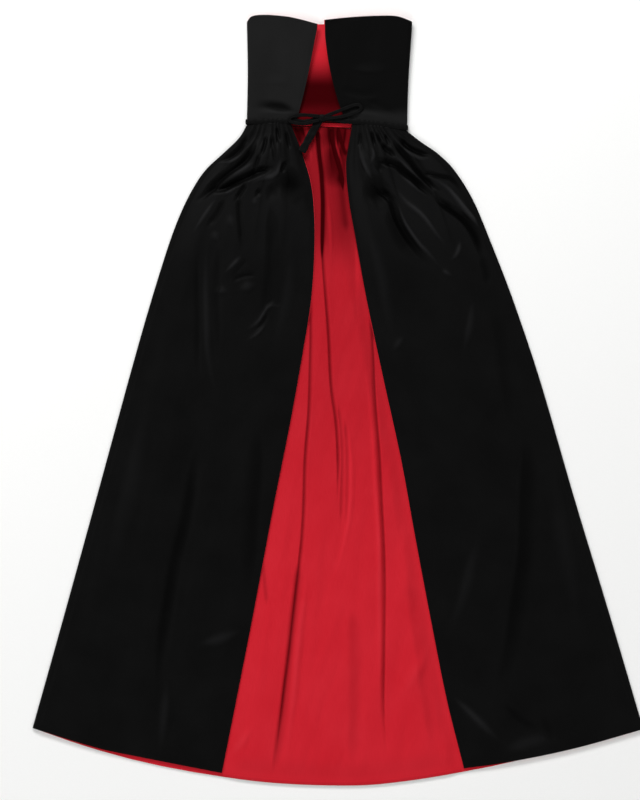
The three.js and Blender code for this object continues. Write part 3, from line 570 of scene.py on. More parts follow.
RIGHT_FRONT = Front(
    RIGHT_SIDE, RIGHT_EDGE, RIGHT_NECK, RIGHT_HEM, RIGHT_FOLDS, RIGHT_GATHERS, 11, -0.3
)
LEFT_FRONT = Front(
    LEFT_SIDE, LEFT_EDGE, LEFT_NECK, LEFT_HEM, LEFT_FOLDS, LEFT_GATHERS, 23, 0.65
)


def cover_height(below):
    """How high the fronts' lining lies, at a distance below the neckband."""
    return COVER_Z + NECK_LIFT * (1 - ease(below / NECK_LIFT_REACH))


def hem_rise(from_hem):
    """The hem is turned up and pressed: it is thicker from its edge up to the turning's own."""
    return HEM_RISE * (1 - ease((from_hem - HEM_TURN) / HEM_STEP + 0.5))


def front_loft(front, x, y, width, u, below):
    """How far a front's satin stands off its lining, and its painted shade."""
    across = np.minimum(width * u, width * (1 - u))
    free = ease(np.minimum(across, front.length - below) / LOOSE_REACH)
    lift = SEAM_LIFT * (1 - ease(below / SEAM_LIFT_REACH))
    fallen = ease((below - PUFF_UNTIL) / (PUFF_GONE - PUFF_UNTIL))
    puff = PUFF_HEIGHT * ease(below / PUFF_FROM) * (1 - fallen)
    inner = ease(np.minimum(SIDE_FLAT_SHARE * width * u, width * (1 - u)) / EDGE_FLAT)
    folds, fold_shade = fold_height(front.folds, SEEN * x, SEEN * y, FRONT_DRIFT)
    gathers, gather_shade = gather_height(front.gathers, u, below)
    s = width * u
    near_neck = fading(below, CREASED_TO, CREASED_FADE)
    long_waves = slack(s, below, front.seed, *FRONT_WAVES) * free
    creases = slack(s, below, front.seed + 1, *FRONT_CREASES) * free
    creases *= mix(CREASED_LEAST, 1, near_neck)
    raised = (LOOSE + puff) * free + lift
    loft = raised + (folds + gathers) * inner + long_waves + creases
    loft = mix(np.maximum(0, loft), soft_floor(loft), inner)
    # painted shade in the folds and between the gathers, less a painted highlight on the puff
    shade = (fold_shade + gather_shade - PUFF_LIT * puff / PUFF_HEIGHT) * inner
    return loft + hem_rise(front.length - below), shade


print("fronts' lengths:", round(RIGHT_FRONT.length), round(LEFT_FRONT.length), "mm")


# %% The fronts' shells and linings
FRONT_ROWS = 290
FRONT_COLUMNS = 124
SIDE_COLUMNS = 8
ROW_CROWDING = 1.35
LINING_ROWS = 90
LINING_COLUMNS = 24


def row_shares(count):
    """Shares of the way from neck to hem, closer together at the gathers."""
    return np.linspace(0, 1, count + 1) ** ROW_CROWDING


def grid_of(u_values, v_values):
    v, u = np.meshgrid(v_values, u_values, indexing="ij")
    return u, v


def front_shell(name, front):
    turn = SIDE_TURN * (1 - np.cos(np.linspace(0, math.pi / 2, SIDE_COLUMNS, endpoint=False)))
    insets = np.concatenate([turn, np.full(FRONT_COLUMNS + 1, SIDE_TURN)])
    shares = np.concatenate([np.zeros(SIDE_COLUMNS), np.linspace(0, 1, FRONT_COLUMNS + 1)])
    tucked = [-TUCK / front.length, -TUCK / 3 / front.length]
    u, v = grid_of(shares, np.concatenate([tucked, row_shares(FRONT_ROWS)]))
    inset = np.broadcast_to(insets, u.shape)
    x, y, width = front.plan(u, v, inset)
    below = np.maximum(v, 0) * front.length
    loft, shade = front_loft(front, x, y, width, u, below)
    low = cover_height(below) + CLOTH + SEAM_GAP + loft
    low -= TUCK_DROP * ease(-v * front.length / TUCK)
    bend = np.sqrt(1 - (1 - inset / SIDE_TURN) ** 2)
    z = mix(CLOTH + SEAM_GAP, low, bend)
    return wall_up(name, x, y, z, np.stack([width * u + inset, below], axis=-1), shade)


def front_lining(name, front):
    u, v = grid_of(np.linspace(0, 1, LINING_COLUMNS + 1), row_shares(LINING_ROWS))
    x, y, width = front.plan(u, v, LINING_INSET)
    x[:, -1] += front.away * LINING_EDGE
    below = v * front.length
    # Only the lining's edge shows, and it is painted: shade on one front, a highlight on the
    # other, and shadow beside the bow
    shade = np.zeros_like(x)
    edge_shade = front.edge_shade * fading(below[:, -1], *EDGE_SHADE)
    shade[:, -1] = mix(edge_shade, 1, fading(below[:, -1], *BOW_SHADE))
    return wall_up(name, x, y, cover_height(below), np.stack([width * u, below], axis=-1), shade)


pieces = {
    "front_right_shell": front_shell("cape_front_right", RIGHT_FRONT),
    "front_left_shell": front_shell("cape_front_left", LEFT_FRONT),
    "front_right_lining": front_lining("cape_front_right_lining", RIGHT_FRONT),
    "front_left_lining": front_lining("cape_front_left_lining", LEFT_FRONT),
}

# %% [markdown]
# The back
#
# The back lies flat on the floor, its black outside down and its red lining up. Between the
# fronts' edges the lining shows from neck to hem, and there it is loose: it stands off the satin
# under it, in deep narrow folds with a dark line of painted shade down each, and painted shade
# lies on it below the neck. Under the fronts it lies flat. Its three strips share their rows, so
# that the folds can follow the opening's own outline.

# %% The back
PAST_EDGE = 4
BACK_EDGE_RISE = 34
BACK_LOOSE = 8
BACK_NECK_SHARE = 0.25
BACK_NECK_REACH = 170
BACK_DRIFT = 1.2
# Middle, half sizes and strength of the painted shade on the deep places between the fronts, below
# the bow
NECK_HOLLOWS = [
    (-4, 578, 50, 78, 0.95),
    (-4, 504, 40, 72, 0.94),
    (15, 440, 15, 82, 0.62),
    (-84, 566, 20, 34, 1.0),
]
# Painted shade where the rise of both fronts keeps off the light: its strength, from one distance
# below to another
DUSKS = [(0.27, 250, 1000), (0.33, 185, 300)]
# how much of the folds' painted shade the back's lining takes
FOLD_DUSK = 0.75
HEM_SHADE, HEM_SHADE_REACH = 0.25, 5
BACK_WAVES = (70, 800, 0.6)
BACK_CREASES = (26, 220, 0.2)
BACK_STRIPS, BACK_ROWS = (6, 180, 6), 220
BACK_SHELL_STRIPS, BACK_SHELL_ROWS = (14, 12, 14), 70


def back_plan(strip, t, v, inset):
    guides = [
        (RIGHT_SIDE, inset),
        (RIGHT_EDGE, PAST_EDGE),
        (LEFT_EDGE, -PAST_EDGE),
        (LEFT_SIDE, -inset),
    ]

    def guide(n):
        line, off = guides[n]
        top, foot = line.rows[0][1] + off, line.rows[-1][1] + off
        y = mix(BACK_NECK(top) - SEAM_Y, BACK_HEM(foot), v)
        return top, foot, line(y) + off

    top_a, foot_a, x_a = guide(strip)
    top_b, foot_b, x_b = guide(strip + 1)
    x = mix(x_a, x_b, t)
    y = mix(BACK_NECK(mix(top_a, top_b, t)) - SEAM_Y, BACK_HEM(mix(foot_a, foot_b, t)), v)
    return x, y


def back_grid(strips, rows, inset):
    """Places on the back in three strips: under each front, and the stretch that shows."""
    parts = []
    for strip, count in enumerate(strips):
        ends = count + 1 if strip == 2 else count
        t, v = grid_of(np.arange(ends) / count, row_shares(rows))
        x, y = back_plan(strip, t, v, inset)
        shown = t if strip == 1 else np.full(t.shape, np.nan)
        parts.append((x, y, shown, v))
    return (np.concatenate([p[k] for p in parts], axis=1) for k in range(4))


def back_loft(x, y, u, v):
    """How far the back's lining stands off the satin under it, and its painted shade."""
    shown = ~np.isnan(u)
    u = np.where(shown, u, 0)
    below = v * RIGHT_FRONT.length
    inside = np.minimum(x - RIGHT_EDGE(y), LEFT_EDGE(y) - x)
    open_share = ease((inside - PAST_EDGE) / BACK_EDGE_RISE)
    from_hem = y - BACK_HEM(x)
    free = ease(from_hem / LOOSE_REACH)
    width = LEFT_EDGE(y) - RIGHT_EDGE(y)
    risen = mix(BACK_NECK_SHARE, 1, ease(below / BACK_NECK_REACH))
    folds, fold_shade = fold_height(BACK_FOLDS, x, y, BACK_DRIFT, LONG_TIPS, 1.8)
    gathers, gather_shade = gather_height(BACK_GATHERS, u, below)
    waves = slack(width * u, below, 41, *BACK_WAVES) + slack(width * u, below, 42, *BACK_CREASES)
    loft = soft_floor(BACK_LOOSE * risen * free + folds + gathers + waves * free)
    loft = (loft + hem_rise(from_hem)) * open_share
    # Painted shade below the neck, in broad bands and on the deep places below the bow, and a thin
    # painted shade along the hem
    neck_shade = sum(dark * (1 - ease((below - a) / (b - a))) for dark, a, b in DUSKS)
    for at_x, at_y, half_x, half_y, depth in NECK_HOLLOWS:
        away = np.abs((x - at_x) / half_x) ** 3 + np.abs((y - at_y) / half_y) ** 3
        neck_shade = np.maximum(neck_shade, depth * np.exp(-away))
    hem_shade = HEM_SHADE * (1 - ease(from_hem / HEM_SHADE_REACH))
    shade = (FOLD_DUSK * fold_shade + np.where(shown, gather_shade, 0) + neck_shade) * free
    return np.where(shown, loft, 0), shade + np.where(shown, hem_shade, 0)


def back_lining(name):
    x, y, u, v = back_grid(BACK_STRIPS, BACK_ROWS, LINING_INSET)
    loft, shade = back_loft(x, y, u, v)
    return wall_up(name, x, y, BACK_LINING_Z + loft, np.stack([x, -y], axis=-1), shade)


def back_shell(name):
    x, y, _, _ = back_grid(BACK_SHELL_STRIPS, BACK_SHELL_ROWS, 0)
    return wall_up(name, x, y, np.zeros(x.shape), np.stack([x, -y], axis=-1))


pieces["back_shell"] = back_shell("cape_back")
pieces["back_lining"] = back_lining("cape_back_lining")

# %% [markdown]
# Neckband and collar
#
# Both go right round the neck and lie folded flat, so their section is a flattened C: a front at
# each side, a fold, and a back under them. The C could be a curve that is bent after modelling,
# but it is simpler to walk along it: each column of the wall is a place on a front, a fold or the
# back, and each row is a share of the way up. The collar is stiffened, so it springs open a
# little above the band, and its flaps keep only a few shallow creases. The band is drawn up by
# the gathers, so its edges pucker.


# %% The flattened C
def c_columns(front, fold, back):
    """Places along a C, as a part's name and a share of the way along that part."""
    counts = (("right_front", front), ("right_fold", fold), ("back", back))
    counts += (("left_fold", fold), ("left_front", front))
    columns = [(part, i / count) for part, count in counts for i in range(count)]
    return columns + [("left_front", 1.0)]


def c_place(part, t, right_end, left_end, right_fold, left_fold, middle, radius):
    """The x and z of a place on the C, and whether it is on one of its fronts."""
    right_centre, left_centre = right_fold + middle, left_fold - middle
    turn = math.pi * t
    if part == "right_front":
        return mix(right_end, right_centre, t), middle + radius, True
    if part == "right_fold":
        bulge, rise = radius * math.sin(turn), radius * math.cos(turn)
        return right_centre - bulge, middle + rise, t < 0.5
    if part == "back":
        return mix(right_centre, left_centre, t), middle - radius, False
    if part == "left_fold":
        bulge, rise = radius * math.sin(turn), radius * math.cos(turn)
        return left_centre + bulge, middle - rise, t > 0.5
    return mix(left_centre, left_end, t), middle + radius, True


def neck_y(part, x):
    if part == "back":
        return float(BACK_NECK(x))
    return float(RIGHT_NECK(x) if part.startswith("right") else LEFT_NECK(x))


print("neck seam's height at the folds:", neck_y("right_front", -193), neck_y("left_front", 146))

# %% Neckband
NECK_RIGHT_X, NECK_LEFT_X = -193, 146
BAND_HALF_HEIGHT = 6
BAND_CROWN = 1
BAND_CLOTH = 2
BAND_OUT = 3
BAND_END_RIGHT_X, BAND_END_LEFT_X = -95, 15
BAND_COLUMNS = (70, 12, 110)
BAND_ROWS = 10
PUCKER = 0.35
INSIDE_DUSK = (0.85, 0.22)  # the painted shade of the inside beside the bow, and away from it
# where the painted shade beside the bow gives way to the lighter one
BOW_DUSK_X = -75


def band_wall(name, outer, inner, crown, pucker, wide=BAND_WIDTH, dusk=(0, 0)):
    columns = c_columns(*BAND_COLUMNS)
    shares = np.linspace(0, 1, BAND_ROWS + 1)
    ends = (BAND_END_RIGHT_X, BAND_END_LEFT_X, NECK_RIGHT_X - BAND_OUT, NECK_LEFT_X + BAND_OUT)
    upper, lower, uv, shade = [], [], [], []
    for share in shares:
        bulge = crown * (1 - (2 * share - 1) ** 2)
        off = mix(-wide / 2, wide / 2, share)
        rows = ([], [], [], [])
        for part, t in columns:
            x, z, front = c_place(part, t, *ends, BAND_HALF_HEIGHT, outer + bulge)
            x_in, z_in, _ = c_place(part, t, *ends, BAND_HALF_HEIGHT, inner)
            edge = abs(2 * share - 1)
            wave = math.sin(x / 1.9 + 2 * math.sin(x / 11)) * (0.4 + 0.6 * edge)
            raised = pucker * wave if front else 0
            wobble = 0.3 * pucker / PUCKER * math.sin(x / 5.3 + 3 * share) * edge
            y = neck_y(part, x) + off + (wobble if front else 0)
            rows[0].append((x, y, z + raised))
            rows[1].append((x_in, neck_y(part, x_in) + off, z_in))
            rows[2].append((x if front else -x, off))
            # painted shade on the band's inside
            rows[3].append(mix(*dusk, ease((x - BOW_DUSK_X) / 30 + 0.5)))
        for grid, row in zip((upper, lower, uv, shade), rows):
            grid.append(row)
    return cloth_wall(name, *(np.array(grid) for grid in (upper, lower, uv, shade)))


band_outer = BAND_HALF_HEIGHT - BAND_CROWN
band_inner = band_outer - BAND_CLOTH - SEAM_GAP
pieces["neckband_shell"] = band_wall(
    "neckband", band_outer, band_outer - BAND_CLOTH, BAND_CROWN, PUCKER
)
pieces["neckband_lining"] = band_wall(
    "neckband_inside", band_inner, band_inner - CLOTH, 0, 0, BAND_WIDTH - 3, INSIDE_DUSK
)

# %% Collar
COLLAR_FOOT_HALF_HEIGHT, COLLAR_TOP_HALF_HEIGHT = 4, 8
COLLAR_FOOT_Y, COLLAR_TOP_Y = 598, 805
COLLAR_CLOTH = 1.5
COLLAR_COLUMNS = (60, 14, 90)
COLLAR_ROWS = 80
COLLAR_CREASES = [
    (((-200, 616), (-172, 623), (-138, 622), (-84, 610)), 13, -5, 0.2),
    (((-190, 606), (-146, 609), (-94, 604)), 6, 1.6, 0.0),
    (((-176, 668), (-134, 676), (-88, 668)), 16, 1.0, 0.2),
    (((-120, 780), (-112, 700), (-124, 640)), 26, 1.0, 0.0),
    (((22, 704), (60, 700), (100, 702), (133, 712)), 14, 1.6, 0.3),
    (((62, 636), (84, 626), (112, 614), (148, 602)), 10, -2.2, 0.2),
    (((14, 612), (60, 608), (110, 600), (144, 594)), 11, 2.4, 0.0),
    (((4, 660), (50, 648), (98, 652)), 12, -1.2, 0.2),
    (((90, 790), (84, 730), (96, 660)), 28, 1.0, 0.0),
    (((-4, 770), (8, 720), (6, 650)), 16, -0.8, 0.0),
]
COLLAR_SLACK = 0.35
COLLAR_SHADE = (744, 80)  # where the painted shade on the inside starts, and over how far it grows, in mm
FOOT_SHARE = 0.9  # the painted shade at the inside's foot, a little less where the band's red lights it
RIM_LIT, RIM_Y, RIM_REACH = 0.3, 735, 40  # and a painted highlight where light reaches in over the rim
# painted shade on the flap whose grain turns from the light
FLAP_SHADE = 1
FLAP_FOOT, FLAP_FOOT_LIT = 26, 0.95  # the painted shade lifts at the flap's foot, which turns up to the light again
# the strength of the painted shade in the flaps' creases and of the painted highlight on their
# crests
CREASE_DARK, CREASE_LIT = 2.6, 1.5
FREE_FOOT, FREE_TOP = 0.06, 0.04  # the shares of the height that the seams hold flat


def collar_relief(x, y, share):
    """How far the stiff flaps rise or dip, at places on them, and their creases' painted shade and
    highlight.
    """
    creases, shade = fold_height(COLLAR_CREASES, x, y, 1)
    waves = slack(x, y, 71, 90, 260, COLLAR_SLACK, waves=7)
    free = ease(share / FREE_FOOT) * ease((1 - share) / FREE_TOP)
    return (creases + waves) * free, np.where(shade > 0, CREASE_DARK, CREASE_LIT) * shade * free


def collar_shade(columns, y, inside):
    """Painted shade: the inside is dark where it is deepest; outside, one flap is painted darker,
    as its grain turns from the light.
    """
    if inside:
        foot = mix(FOOT_SHARE, 1, ease((y - COLLAR_FOOT_Y - 8) / 30))
        return fading(y, *COLLAR_SHADE) * foot - RIM_LIT * ease((y - RIM_Y) / RIM_REACH)
    turned = [1 if part.startswith("left") else 0 for part, _ in columns]
    foot = FLAP_FOOT_LIT * (1 - ease((y - COLLAR_FOOT_Y) / FLAP_FOOT))
    return np.array(turned)[None, :] * (FLAP_SHADE - foot)


def collar_wall(name, outer_depth, thick, past):
    columns = c_columns(*COLLAR_COLUMNS)
    shares = np.linspace(0, 1, COLLAR_ROWS + 1)
    faces = []
    for depth in (outer_depth, outer_depth + thick):
        grid = np.zeros((len(shares), len(columns), 4))
        for r, share in enumerate(shares):
            height = mix(COLLAR_FOOT_Y, COLLAR_TOP_Y, share)
            middle = mix(COLLAR_FOOT_HALF_HEIGHT, COLLAR_TOP_HALF_HEIGHT, share)
            ends = (
                float(COLLAR_RIGHT_EDGE(height)) + past,
                float(COLLAR_LEFT_EDGE(height)) - past,
                float(COLLAR_RIGHT_FOLD(height)),
                float(COLLAR_LEFT_FOLD(height)),
            )
            for c, (part, t) in enumerate(columns):
                x, z, front = c_place(part, t, *ends, middle, middle - depth)
                top = COLLAR_BACK_TOP
                if front:
                    top = COLLAR_RIGHT_TOP if part.startswith("right") else COLLAR_LEFT_TOP
                y = mix(neck_y(part, x) + SEAM_Y, float(top(x)), share)
                on_flap = ease(1.6 - 1.6 * t) if part == "right_front" else 0
                on_flap = ease(1.6 * t) if part == "left_front" else on_flap
                grid[r, c] = x, y, z, on_flap
        faces.append(grid)
    share = np.broadcast_to(shares[:, None], faces[0].shape[:2])
    relief, crease_shade = collar_relief(faces[0][..., 0], faces[0][..., 1], share)
    for grid in faces:
        grid[..., 2] += relief * grid[..., 3]
    upper, lower = (grid[..., :3] for grid in faces)
    run = np.arange(len(columns))[None, :] * 3.0 + np.zeros_like(share)
    shade = collar_shade(columns, lower[..., 1], past > 0)
    shade = shade if past > 0 else shade + crease_shade * faces[0][..., 3]
    return cloth_wall(name, upper, lower, np.stack([run, upper[..., 1]], axis=-1), shade)


pieces["collar_shell"] = collar_wall("stand_collar", 0, COLLAR_CLOTH, 0)
pieces["collar_lining"] = collar_wall(
    "stand_collar_lining", COLLAR_CLOTH + SEAM_GAP, CLOTH, LINING_EDGE
)

# %% [markdown]
# Ties and bow
#
# Each tie is a narrow tube of satin, turned and pressed, so it has a soft oval section with a
# dip along its middle. A curve with a bevel would give the tube, but not the dip or the small
# creases across it, so the strap is a ring of points carried along its route, always lying flat.
# It is hollow, with the cloth's own inner face. The ends run into the knot and under the band.
# The knot is one wrap of the same tube: a squared ball, hollow too, with the wrap's creases round
# it at a slant.

# %% Straps
TIE_WIDTH, TAIL_WIDTH, LOOP_WIDTH = 12, 16.5, 7.5
TIE_THICK = 3.6
TIE_Z = 10.3
STRAP_SIDES = 24
STRAP_STEP = 1.1
STRAP_CLOTH = 0.9
STRAP_DIP = 0.3


def hollow(name, outer, inner, flat):
    """A closed tube from rings of points in mm, with an inner face, and a map in mm."""
    rings, sides = outer.shape[:2]
    number = np.arange(rings * sides).reshape(rings, sides)
    after = np.roll(number, -1, axis=1)
    skin = np.stack([number[:-1], after[:-1], after[1:], number[1:]], axis=-1).reshape(-1, 4)
    points = outer.reshape(-1, 3)
    place = points[skin[sides]]
    outwards = place.mean(axis=0) - outer[1:3].mean(axis=(0, 1))
    faces = skin.tolist() + [number[0, ::-1].tolist(), number[-1].tolist()]
    if np.dot(np.cross(place[1] - place[0], place[2] - place[0]), outwards) < 0:
        faces = [face[::-1] for face in faces]
    inside = [[n + rings * sides for n in face[::-1]] for face in faces]
    both = np.concatenate([points, inner.reshape(-1, 3)])
    twice = np.tile(flat.reshape(-1, 2), (2, 1))
    return cloth_piece(name, both, faces + inside, twice, np.zeros(len(both)))


def strap(name, route, wide, seed):
    """A flat tube along a route, with ends that round off and a width that is never quite even."""
    points, run = smooth_route(route, STRAP_STEP, least=12)
    way = np.gradient(points, axis=0)
    way /= np.linalg.norm(way, axis=1)[:, None]
    across = np.stack([-way[:, 1], way[:, 0], np.zeros(len(way))], axis=-1)
    across /= np.linalg.norm(across, axis=1)[:, None]
    up = np.cross(way, across)
    turn = 2 * math.pi * np.arange(STRAP_SIDES) / STRAP_SIDES
    rng = np.random.default_rng(seed)
    a, b, c = rng.uniform(0, 6, 3)
    side = np.sign(np.cos(turn)) * np.abs(np.cos(turn)) ** 0.8
    dent = 1 - STRAP_DIP * np.exp(-((np.cos(turn) / 0.35) ** 2))
    lift = np.sign(np.sin(turn)) * np.abs(np.sin(turn)) ** 0.9 * dent
    length = run[-1]
    rounded = np.sqrt(np.clip(np.minimum(run, length - run) / 1.5, 0.08, 1))
    half = wide / 2 * (1 + 0.05 * np.sin(run / 6.1 + a) + 0.03 * np.sin(run / 2.7 + b)) * rounded
    thick = TIE_THICK / 2 * (1 + 0.06 * np.sin(run / 4.3 + c)) * rounded
    crease = 0.07 * TIE_THICK * np.sin(run[:, None] / 3.1 + 1.8 * np.cos(turn) + a)

    def ring(shrink):
        out = (half * (1 - shrink / (wide / 2)))[:, None] * side
        high = (thick * (1 - shrink / (TIE_THICK / 2)))[:, None] * lift
        high = high + (crease * np.maximum(lift, 0) if shrink == 0 else 0)
        return points[:, None] + across[:, None] * out[..., None] + up[:, None] * high[..., None]

    around = np.arange(STRAP_SIDES) * (wide + TIE_THICK) * 2 / STRAP_SIDES
    flat = np.stack(np.broadcast_arrays(around[None, :], run[:, None]), axis=-1)
    print(name, "length:", round(length), "mm")
    return hollow(name, ring(0), ring(STRAP_CLOTH), flat)


# %% Bow
KNOT = (-34, 597, 10.6)
KNOT_HALF = (9.5, 8.5, 4.8)
LOOP_Z = TIE_Z + TIE_THICK + SEAM_GAP
IN_KNOT_RIGHT, IN_KNOT_LEFT = KNOT[0] - 5, KNOT[0] + 5
STRAPS = {
    "tie_right": (TIE_WIDTH, [
        (-97, 592, TIE_Z), (-90.7, 592, TIE_Z), (-76, 588, TIE_Z), (-58, 590.5, TIE_Z),
        (IN_KNOT_RIGHT, 598, TIE_Z),
    ]),
    "tie_left": (TIE_WIDTH, [
        (17, 591.5, TIE_Z), (10.7, 591.5, TIE_Z), (-5, 595, TIE_Z), (IN_KNOT_LEFT, 597, TIE_Z),
    ]),
    "bow_tail": (TAIL_WIDTH, [
        (-38.5, 594.5, 9.9), (-41.2, 589.8, 10), (-52, 571, 10.6), (-64, 549, 13),
        (-77, 525, 14.4),
    ]),
    "bow_loop_right": (LOOP_WIDTH, [
        (IN_KNOT_RIGHT, 600.5, LOOP_Z), (-72, 603.5, LOOP_Z), (-95, 601, LOOP_Z),
        (-103, 594, LOOP_Z), (-96, 588, LOOP_Z), (-72, 585.5, LOOP_Z),
        (IN_KNOT_RIGHT, 593, LOOP_Z),
    ]),
    "bow_loop_left": (LOOP_WIDTH, [
        (IN_KNOT_LEFT, 600, 14), (4, 613, 13), (34, 624.5, 12.4), (46, 624, 12.2),
        (49, 617, 12), (36, 608, 12), (8, 600, 13.6), (IN_KNOT_LEFT, 595.5, 14),
    ]),
}
for seed, (node, (wide, route)) in enumerate(STRAPS.items()):
    pieces[node] = strap("satin_" + node, route, wide, seed)

# %% Knot
KNOT_SIDES, KNOT_RINGS = 44, 28
KNOT_CLOTH = 0.8
KNOT_POLE = 0.06  # the angle at which the ball's two small end faces close it


def knot_ball(name):
    """A squared ball with the creases of a wrap round it."""
    tilt = np.linspace(KNOT_POLE, math.pi - KNOT_POLE, KNOT_RINGS)[:, None]
    turn = 2 * math.pi * np.arange(KNOT_SIDES)[None, :] / KNOT_SIDES
    ball = np.stack(
        [np.sin(tilt) * np.cos(turn), np.sin(tilt) * np.sin(turn), np.cos(tilt) + 0 * turn],
        axis=-1,
    )
    bx, by = ball[..., 0], ball[..., 1]
    wrap = bx * 0.86 + by * 0.5
    crease = 0.07 * np.abs(np.sin(wrap * 5.2 + 0.7)) + 0.03 * np.sin(9 * by + 4 * bx)
    square = np.sign(ball) * np.abs(ball) ** 0.78
    outer = np.array(KNOT) + square * (0.93 + crease)[..., None] * np.array(KNOT_HALF)
    inner = np.array(KNOT) + square * 0.9 * (np.array(KNOT_HALF) - KNOT_CLOTH)
    return hollow(name, outer, inner, outer[..., :2] + outer[..., 2:])


pieces["bow_knot"] = knot_ball("satin_bow_knot")
print("pieces:", len(pieces))

# %% [markdown]
# Sewing
#
# The seams that show are topstitched: both edges of the neckband, the front edges, the hems and
# the collar's edge. Stitches repeat along a path, so Geometry Nodes lay them. The tree turns a
# line of edges into a curve, cuts it into even steps, and puts one small oval of thread on each,
# turned along the seam. Every oval has few faces, because there are more than a thousand. The
# result is turned into a plain mesh.

# %% A tree that sews along a line
# In mm; real thread is 0.3 mm wide, and it is wider here, or it would not show
STITCH = {"Pitch": 4.2, "Length": 2.9, "Width": 0.6, "Height": 0.35}


def link_new(tree, kind, settings=(), links=()):
    """A new node with its settings, its inputs' values and its links from other nodes."""
    node = tree.nodes.new(kind)
    for key, value in dict(settings).items():
        if isinstance(key, str) and hasattr(node, key):
            setattr(node, key, value)
        else:
            node.inputs[key].default_value = value
    for key, (other, output) in dict(links).items():
        tree.links.new(other.outputs[output], node.inputs[key])
    return node


def sewing_tree(thread):
    tree = bpy.data.node_groups.new("sewing", "GeometryNodeTree")
    tree.interface.new_socket("Seam", in_out="INPUT", socket_type="NodeSocketGeometry")
    for title, size in STITCH.items():
        socket = tree.interface.new_socket(title, in_out="INPUT", socket_type="NodeSocketFloat")
        socket.default_value = size * MM
    tree.interface.new_socket("Stitches", in_out="OUTPUT", socket_type="NodeSocketGeometry")
    given = link_new(tree, "NodeGroupInput")
    line = link_new(tree, "GeometryNodeMeshToCurve", links={"Mesh": (given, "Seam")})
    steps = link_new(
        tree,
        "GeometryNodeResampleCurve",
        {"mode": "LENGTH"},
        {"Curve": (line, "Curve"), "Length": (given, "Pitch")},
    )
    way = link_new(tree, "GeometryNodeInputTangent")
    turned = link_new(
        tree, "FunctionNodeAlignRotationToVector", {"axis": "X"}, {"Vector": (way, "Tangent")}
    )
    oval = link_new(tree, "GeometryNodeMeshUVSphere", {"Segments": 6, "Rings": 4, "Radius": 0.5})
    size = link_new(
        tree,
        "ShaderNodeCombineXYZ",
        links={"X": (given, "Length"), "Y": (given, "Width"), "Z": (given, "Height")},
    )
    laid = link_new(
        tree,
        "GeometryNodeInstanceOnPoints",
        links={
            "Points": (steps, "Curve"),
            "Instance": (oval, "Mesh"),
            "Rotation": (turned, "Rotation"),
            "Scale": (size, "Vector"),
        },
    )
    real = link_new(tree, "GeometryNodeRealizeInstances", links={"Geometry": (laid, "Instances")})
    dyed = link_new(
        tree, "GeometryNodeSetMaterial", {"Material": thread}, {"Geometry": (real, "Geometry")}
    )
    link_new(tree, "NodeGroupOutput", links={"Stitches": (dyed, "Geometry")})
    return tree


print("stitch in mm:", STITCH)

# %% [markdown]
# Satin
#
# The cape is woven in satin: long warp floats lie side by side, so the face is smooth, with no
# rough twill or plain-weave grid. Seen from a step away it is a deep colour with faint lengthwise
# streaks, brighter only on the crests of folds, and that brightness is a painted highlight. The
# black reflects so little that its form is read from those painted crests alone. The red shows its
# dye, and painted shade turns it deep crimson in the folds. Four colours make each satin: two for
# the cloth as it lies, one for painted shade in the depth of a fold and one for a painted
# highlight on a crest. Real floats are about 0.1 mm wide, which is far too fine to show, so the
# streaks are drawn 1.2 mm wide and 20 mm long on the panel's map.

# %% Materials
STREAK_WIDE, STREAK_LONG = 1.2, 20
CLOUD = 90  # the size of the soft patches where the cloth has been handled
# A colour mix node's own sockets, which share their names with its other kinds of socket
MIX_A, MIX_B, MIX_OUT = 6, 7, 2


def srgb(code):
    """A colour given as sRGB hex, as linear red, green, blue and full alpha."""
    parts = [int(code[i : i + 2], 16) / 255 for i in (1, 3, 5)]
    return [p / 12.92 if p <= 0.04045 else ((p + 0.055) / 1.055) ** 2.4 for p in parts] + [1.0]


